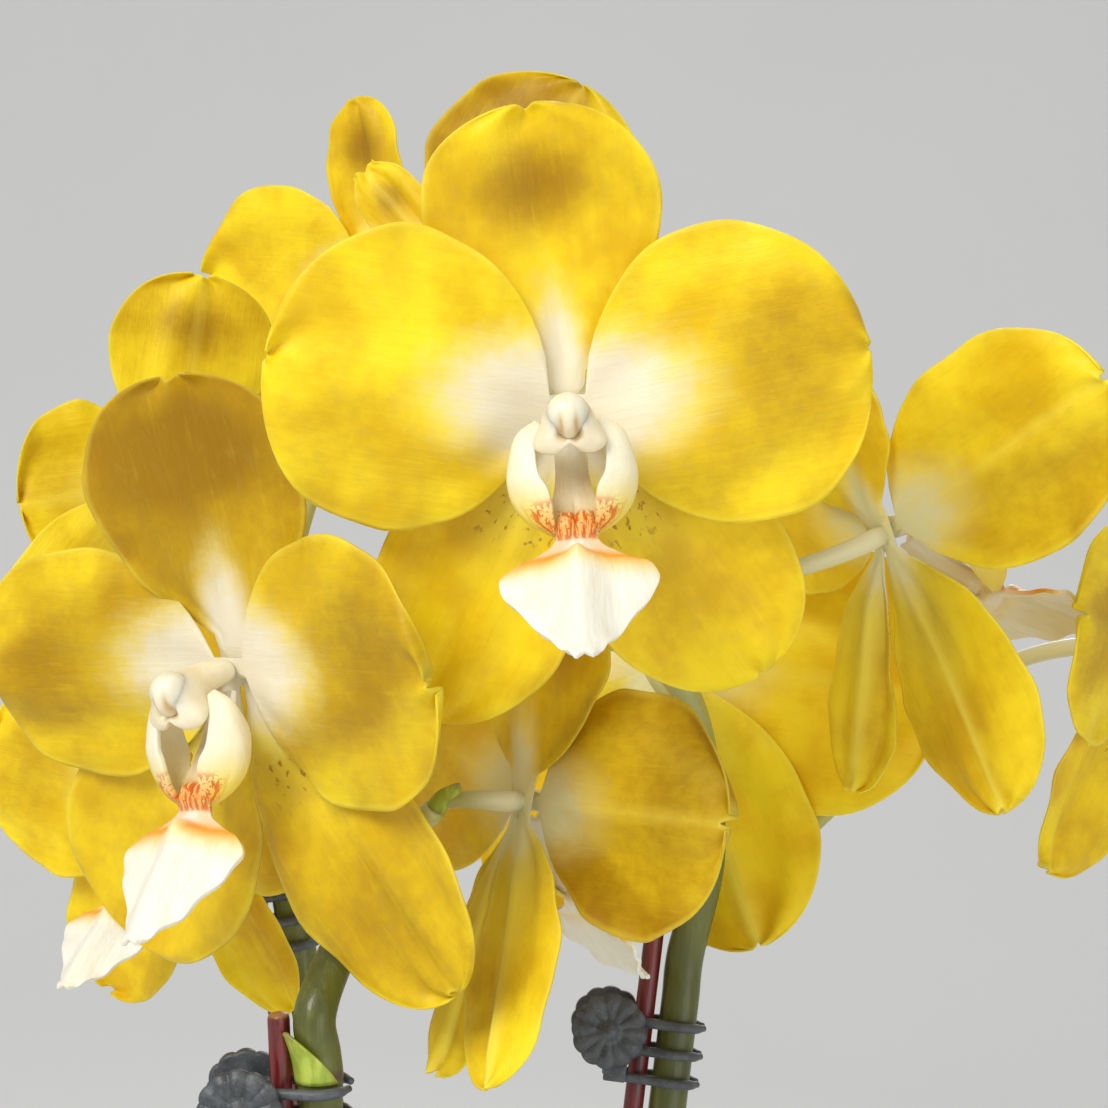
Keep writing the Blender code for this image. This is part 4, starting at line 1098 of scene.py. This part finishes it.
def stalk_ribs(k, angles):
    return 1 + 0.05 * np.cos(3 * angles + 0.12 * k)


def stalks(shape, spike_name):
    """The flower stalks of one spike, each with a tiny bract at its foot."""
    for flower, (carrier, _) in STALKS.items():
        if carrier != spike_name:
            continue
        route = stalk_route(flower)
        share = np.linspace(0, 1, len(route))
        radii = PEDICEL_RADIUS * (0.92 + 0.28 * smooth(0.3, 1.0, share))
        white = 0.9 * smooth(0.45, 1.0, share)
        tube(shape, route, radii, 14, stalk_ribs, pale=0.45 + 0.45 * share, white=white)
        scale_leaf(shape, route[1], route[3] - route[1], (0.3, -1, -0.4), STALK_BRACT_LENGTH,
                   PEDICEL_RADIUS * 1.25, 0.5)


def spike(name, mats):
    """A stem that runs from the bark past its clip to its flowers, with joints, bracts and stalks."""
    below, above = SPIKES[name]
    place = clip_frame(name)
    stem_x = PIVOT_TO_STAKE + STAKE_TO_STEM
    held = [place @ Vector((stem_x, 0, z)) for z in HELD_HEIGHTS]
    keys = [Vector(p) for p in below] + held + [Vector(p) for p in above]
    steps = 14
    count = steps * (len(keys) - 1) + 1
    whole = steps * (len(below) + len(held) - 1)
    route = through(keys, count)
    taper = np.maximum(0, np.arange(count) - whole) / max(1, count - 1 - whole)
    radii = STEM_RADIUS * (1.0 - 0.45 * taper)
    ring = np.zeros(count)
    joints = list(STEM_JOINTS) + ([LEFT_STEM_JOINT] if name == "left" else [])
    for at in joints:
        radii = radii * (1 + 0.10 * hump(route[:, 2], at, 0.0030))
        ring = np.maximum(ring, hump(route[:, 2], at, 0.0009))
    shape = Shape()
    tube(shape, route, radii, 20, ring=ring, pale=0.9 * smooth(whole, count, np.arange(count)))
    for k, at in enumerate(joints):
        i = int(np.argmin(np.abs(route[:whole, 2] - at)))
        axis = route[i + 1] - route[i]
        facing, length = ((0.2, -1, 0) if k % 2 else (-0.4, 1, 0)), BRACT_LENGTH
        if at == LEFT_STEM_JOINT:
            facing, length = (-0.85, -0.55, 0), SHORT_BRACT_LENGTH
        foot = route[i] - axis / np.linalg.norm(axis) * 0.001
        scale_leaf(shape, foot, axis, facing, length, radii[i] * 1.10, 0.45)
    stalks(shape, name)
    stands_for(outward(shape.make("spike_" + name + "_stems", mats)), PLANT, "stem", "spike_" + name)


def stake_dents(k, angles):
    return 1 - 0.015 * (1 + np.cos(5 * angles))


def stake(name, mat):
    """A painted stick with its top end cut bare and rounded."""
    base, held, above = STAKES[name]
    axis = stake_axis(name)
    low, high = base - axis * STAKE_BELOW_BARK, held + axis * above
    count = 40
    share = np.concatenate([np.linspace(0, 0.995, count), [0.9965, 0.998, 0.9990, 0.9995, 1.0]])
    radii = STAKE_RADIUS * np.concatenate([np.ones(count + 1), [0.97, 0.90, 0.82, 0.55]])
    cut = np.concatenate([np.zeros(count), [0.0, 0.1, 0.8, 1.0, 1.0]])
    shape = Shape()
    tube(shape, [low.lerp(high, s) for s in share], radii, 24, stake_dents, cut=cut)
    stands_for(outward(shape.make("stake_" + name + "_rod", [mat])), PLANT, "stake", "stake_" + name)


def grip(side):
    """The flower-shaped grip: a shallow dish with radial grooves, a scalloped rim and a button."""
    rings, around = 14, 144
    turn = np.linspace(0, 2 * math.pi, around, endpoint=False)[None, :]
    share = np.linspace(0.02, 1.0, rings)[:, None]
    ridge = np.abs(np.cos(GRIP_SCALLOPS * turn / 2))
    radius = GRIP_RADIUS * share * (1 - 0.055 * (1 - ridge ** 0.8) * smooth(0.5, 1.0, share))
    groove = 0.00045 * (1 - ridge ** 0.7) * smooth(0.28, 0.45, share)
    dome = 0.00085 * (1 - smooth(0.75, 1.0, share)) + 0.0009 * hump(share, 0, 0.2, 4)
    dish = 0.0005 * hump(share, 0.33, 0.10)
    face = GRIP_INNER + GRIP_THICKNESS - 0.0008 + dome - groove - dish
    sheets = []
    for r, depth in ((radius, face), (radius * 0.97, np.full_like(radius, GRIP_INNER))):
        x = HEAD_OFFSET + r * np.cos(turn)
        z = HEAD_HEIGHT + r * np.sin(turn)
        sheets.append(np.stack([x, side * depth, z], -1))
    n = rings * around
    last = n - around
    faces = grid_faces(rings, around, wrap=True)
    faces += [quad[::-1] for quad in grid_faces(rings, around, start=n, wrap=True)]
    for j in range(around):
        k = (j + 1) % around
        faces.append((last + j, last + k, n + last + k, n + last + j))
    faces.append(tuple(range(around - 1, -1, -1)))
    faces.append(tuple(range(n, n + around)))
    return np.stack(sheets), faces


def rounded_bar(low, high, inset):
    """A box with its edges cut back, from one corner to the other."""
    bm = bmesh.new()
    bmesh.ops.create_cube(bm, size=1.0)
    middle = (Vector(low) + Vector(high)) / 2
    size = [abs(b - a) for a, b in zip(low, high)]
    matrix = Matrix.Translation(middle) @ Matrix.Diagonal((*size, 1))
    bmesh.ops.transform(bm, matrix=matrix, verts=bm.verts)
    bmesh.ops.bevel(bm, geom=bm.edges[:], offset=inset, segments=3, profile=0.6, affect="EDGES")
    verts = np.array([v.co[:] for v in bm.verts])
    faces = [tuple(v.index for v in f.verts) for f in bm.faces]
    bm.free()
    return verts, faces


def placed_tube(shape, place, *args):
    """Adds a tube given in a clip's own frame."""
    part = Shape()
    tube(part, *args)
    shape.add(turned(part.verts[0], place), part.faces)


def clip_jaw(name, which, side, body, mat):
    """One jaw: the grip, the bar behind it and three prongs round stake and stem."""
    place = clip_frame(name)
    shape = Shape()
    verts, faces = grip(side)
    shape.add(turned(verts, place), faces)
    low = (-0.0026, side * 0.0026, PRONG_HEIGHTS[0] - PRONG_RADIUS)
    high = (0.0014, side * (GRIP_INNER + 0.0004), HEAD_HEIGHT + 0.002)
    verts, faces = rounded_bar(low, high, 0.0004)
    shape.add(turned(verts, place), faces)
    steps = 34
    thin = PRONG_RADIUS * (1 - 0.35 * smooth(0.8, 1.0, np.linspace(0, 1, steps)))
    for height in PRONG_HEIGHTS:
        route = through([(x, side * y, height) for x, y in PRONG_ROUTE], steps)
        placed_tube(shape, place, route, thin, 14)
    obj = outward(shape.make("clip_" + name + "_" + which + "_body", [mat]))
    stands_for(obj, body, "clip", "clip_" + name + "_" + which + "_jaw")


def clip(name, mats):
    """A spring clip: front jaw, rear jaw and the coil between them."""
    plastic, steel = mats
    clip_jaw(name, "front", -1, PLANT, plastic)
    clip_jaw(name, "rear", 1, name + "_clip_rear_jaw", plastic)
    count = 110
    share = np.linspace(0, 1, count)
    turn = 2 * math.pi * SPRING_TURNS * share
    low, high = SPRING_HEIGHTS
    height = low + (high - low) * share
    coil = np.column_stack([SPRING_RADIUS * np.cos(turn), SPRING_RADIUS * np.sin(turn), height])
    shape = Shape()
    placed_tube(shape, clip_frame(name), coil, np.full(count, SPRING_WIRE_RADIUS), 10)
    obj = outward(shape.make("clip_" + name + "_coil", [steel]))
    stands_for(obj, PLANT, "spring", "clip_" + name + "_spring")


# ---------------------------------------------------------------- leaves, bark, roots and pot


def leaf(name, mat):
    """A strap leaf that bends over under its own weight, folded along its midrib."""
    heading, base, length, half, first, last = LEAVES[name]
    heading = math.radians(heading)
    up = np.array([0, 0, 1])
    out = np.array([math.cos(heading), math.sin(heading), 0])
    side = np.array([-math.sin(heading), math.cos(heading), 0])
    rows, columns = 72, 33
    rng = random.Random(name)
    phase = [rng.uniform(0, 6.28) for _ in range(3)]
    v = np.linspace(-1, 1, columns)
    here = np.array(base, float)
    verts, widths = [], []
    for u in np.linspace(0, 1, rows + 1):
        rise = math.radians(first + (last - first) * max(0.0, u - LEAF_BEND_LAG))
        along = out * math.cos(rise) + up * math.sin(rise)
        above = up * math.cos(rise) - out * math.sin(rise)
        share = float(blade_share(np.array(min(u, 0.998)), 0.60, 0.80, 2.3))
        width = half * max(share, 0.16 if u < 0.5 else 0.02) * 0.99
        keel = (np.sqrt(v * v + 0.012) - 0.11) * width * (0.55 - 0.35 * u)
        wave = 0.0008 * np.sin(9 * u + phase[0] + v) * np.abs(v)
        wave = wave + 0.0009 * np.sin(14 * u + phase[1]) * np.abs(v) ** 3
        verts.append(here + np.outer(v * width, side) + np.outer(keel + wave, above))
        widths.append(width)
        here = here + along * (length / rows)
    u = np.linspace(0, 1, rows + 1)[:, None]
    across = v[None, :] * np.array(widths)[:, None]
    midrib = 0.8 * hump(across, 0, 0.0011) * (1 - 0.6 * u)
    faces = [face[::-1] for face in grid_faces(rows + 1, columns)]
    shape = Shape()
    shape.add(verts, faces, along=np.repeat(u * length / MM, columns), across=across.ravel() / MM,
              midrib=midrib.ravel(), seed=rng.uniform(0, 20))
    obj = shape.make(name + "_blade", [mat])
    thicken(obj, LEAF_THICKNESS)
    soften(obj, 0.3 * LEAF_THICKNESS)
    stands_for(obj, PLANT, "leaf", name)


def bark_chip(rng, edge, top):
    """Verts and faces of one worn chip that lies on the bed at a random place."""
    reach = edge * 0.93 * math.sqrt(rng.random())
    heading = rng.uniform(0, 2 * math.pi)
    size = Vector((rng.uniform(0.006, 0.013), rng.uniform(0.004, 0.009), rng.uniform(0.0016, 0.0032)))
    reach = min(reach, edge * 0.985 - size.x / 2 - 0.0005)
    height = top - 0.0002 + rng.uniform(0, 0.0012)
    place = Matrix.Translation((reach * math.cos(heading), reach * math.sin(heading), height))
    for most, least, axis in ((6.28, 0.0, "Z"), (0.28, -0.28, "X"), (0.28, -0.28, "Y")):
        place = place @ Matrix.Rotation(rng.uniform(least, most), 4, axis)
    verts, faces = rounded_bar(-size / 2, size / 2, size.z * 0.28)
    worn = np.array([rng.uniform(0.80, 1.12) for _ in range(len(verts))])[:, None]
    return turned(verts * worn, place), faces


def bark_bed(mats):
    """The bed of bark with loose chips lying on it."""
    low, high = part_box("potting_bark")
    edge = (high[0] - low[0]) / 2
    top = high[2] - 0.003
    rng = random.Random(7)
    shape = Shape()
    dome = [(0.0, top + 0.0012), (edge * 0.5, top + 0.0008), (edge * 0.985, top - 0.0015),
            (edge * 0.80, low[2]), (0.0, low[2])]
    lathe(shape, dome, 64, tint=0.1)
    for _ in range(CHIP_COUNT):
        verts, faces = bark_chip(rng, edge, top)
        shape.add(verts, faces, tint=rng.random())
    stands_for(outward(shape.make("bark_bed", mats)), PLANT, "bark", "potting_bark")


def root_lumps(k, angles):
    return 1 + 0.04 * np.sin(3 * angles + 0.5 * k)


def roots(mat):
    """Silvery roots that leave the plant's foot and run over the bark."""
    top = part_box("potting_bark")[1][2] - 0.001
    rng = random.Random(21)
    shape = Shape()
    share = np.linspace(0, 1, 40)
    for heading, reach in ROOTS:
        bend = rng.uniform(-0.5, 0.5)
        points = []
        for out, lift in ROOT_ROUTE:
            turn = math.radians(heading) + bend * out * out
            points.append((reach * out * math.cos(turn), reach * out * math.sin(turn), top + lift))
        tube(shape, through(points, 40), ROOT_RADIUS * (1 - 0.15 * share), 16, root_lumps,
             tip=0.7 * smooth(0.88, 1.0, share))
    stands_for(outward(shape.make("roots", [mat])), PLANT, "stem")


def pot(mat):
    """The tapered pot with a band under its rim and a foot ring."""
    _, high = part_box("pot")
    height, rim = high[2], high[0]
    foot = POT_FOOT_RADIUS
    top = rim - POT_BAND_OUT
    slope = (top - foot) / height
    inside = foot + slope * POT_FLOOR - POT_WALL
    mouth = top - POT_WALL
    band = height - POT_BAND_HEIGHT
    neck = band - POT_BAND_OUT
    profile = [
        (0.0, POT_FLOOR), (inside * 0.9, POT_FLOOR), (inside, POT_FLOOR + 0.0015),
        (mouth - 0.0003, height - 0.0012), (mouth + 0.0004, height - 0.0004), (mouth + 0.0013, height),
        (rim - 0.0012, height), (rim - 0.0004, height - 0.0004), (rim, height - 0.0013),
        (rim, band + 0.0012), (rim - 0.0005, band + 0.0002), (rim - 0.0014, band - 0.0004),
        (foot + slope * neck + 0.0006, neck + 0.0006), (foot + slope * neck, neck - 0.0006),
    ]
    profile += [(foot + slope * z, z) for z in np.linspace(neck - 0.006, 0.006, 12)]
    profile += [(foot + 0.0002, 0.0032), (foot - 0.0008, 0.0012), (foot - 0.0022, 0.0002),
                (foot - 0.0032, 0.0), (foot - 0.0070, 0.0), (foot - 0.0082, 0.0012),
                (foot - 0.012, 0.0014), (0.0, 0.0014)]
    shape = Shape()
    lathe(shape, profile, 128)
    stands_for(outward(shape.make("pot_shell", [mat])), PLANT, "pot", "pot")


# ---------------------------------------------------------------- floor, light and camera


def stage():
    """The plain pale floor, which curves up behind the plant."""
    n = Nodes("floor_paper", 0.9)
    cloud = n.cloud((3, 3, 3), 3.0)
    n.colour(n.mix(cloud, (0.84, 0.84, 0.83), (0.88, 0.88, 0.87)))
    rows, columns = 40, 3
    verts = []
    for i in range(rows):
        s = i / (rows - 1)
        if s < 0.5:
            y, z = -3.0 + 8.0 * s, 0.0
        else:
            a = (s - 0.5) / 0.5 * math.pi / 2
            y, z = 1.0 + 1.5 * math.sin(a), 3.0 * (1 - math.cos(a))
        verts += [(x, y, z) for x in (-4.0, 0.0, 4.0)]
    shape = Shape()
    shape.add(verts, [f[::-1] for f in grid_faces(rows, columns)])
    floor = shape.make("floor", [n.mat])


def area_light(name, place, target, size, power, colour=(1, 1, 1)):
    """A round soft light at a place, aimed at a target."""
    light = bpy.data.lights.new(name, "AREA")
    light.shape = "DISK"
    light.size = size
    light.energy = power
    light.color = colour
    obj = bpy.data.objects.new(name, light)
    obj.location = place
    obj.rotation_euler = (Vector(target) - Vector(place)).to_track_quat("-Z", "Y").to_euler()
    bpy.context.scene.collection.objects.link(obj)


def light_and_camera():
    world = bpy.data.worlds.new("studio")
    bpy.context.scene.world = world
    world.use_nodes = True
    background = world.node_tree.nodes["Background"]
    background.inputs["Color"].default_value = (1.0, 1.0, 1.0, 1.0)
    background.inputs["Strength"].default_value = 0.55
    target = LIGHT_TARGET
    area_light("key", (-0.55, -0.85, 1.10), target, 0.6, 10.0, (1.0, 0.985, 0.95))
    area_light("fill", (0.7, -0.9, 0.20), target, 0.9, 3.0)
    area_light("rim", (0.2, 0.9, 0.9), target, 0.6, 3.0)
    scene = bpy.context.scene
    scene.view_settings.view_transform = "Standard"
    camera = bpy.data.cameras.new("camera")
    camera.sensor_width = SENSOR_WIDTH
    camera.lens = CAMERA_LENS
    camera.clip_start = 0.01
    obj = bpy.data.objects.new("camera", camera)
    obj.location = CAMERA_PLACE
    obj.rotation_euler = (math.radians(90), 0, 0)
    scene.collection.objects.link(obj)
    scene.camera = obj


def main():
    flowers()
    stem_mats = [stem_material(), bract_material()]
    stake_mat = stake_material()
    clip_mats = [clip_material(), spring_material()]
    leaf_mat = leaf_material()
    for name in SPIKES:
        spike(name, stem_mats)
        stake(name, stake_mat)
        clip(name, clip_mats)
    for name in LEAVES:
        leaf(name, leaf_mat)
    bark_bed([bark_material()])
    roots(root_material())
    pot(pot_material())
    stage()
    light_and_camera()


main()
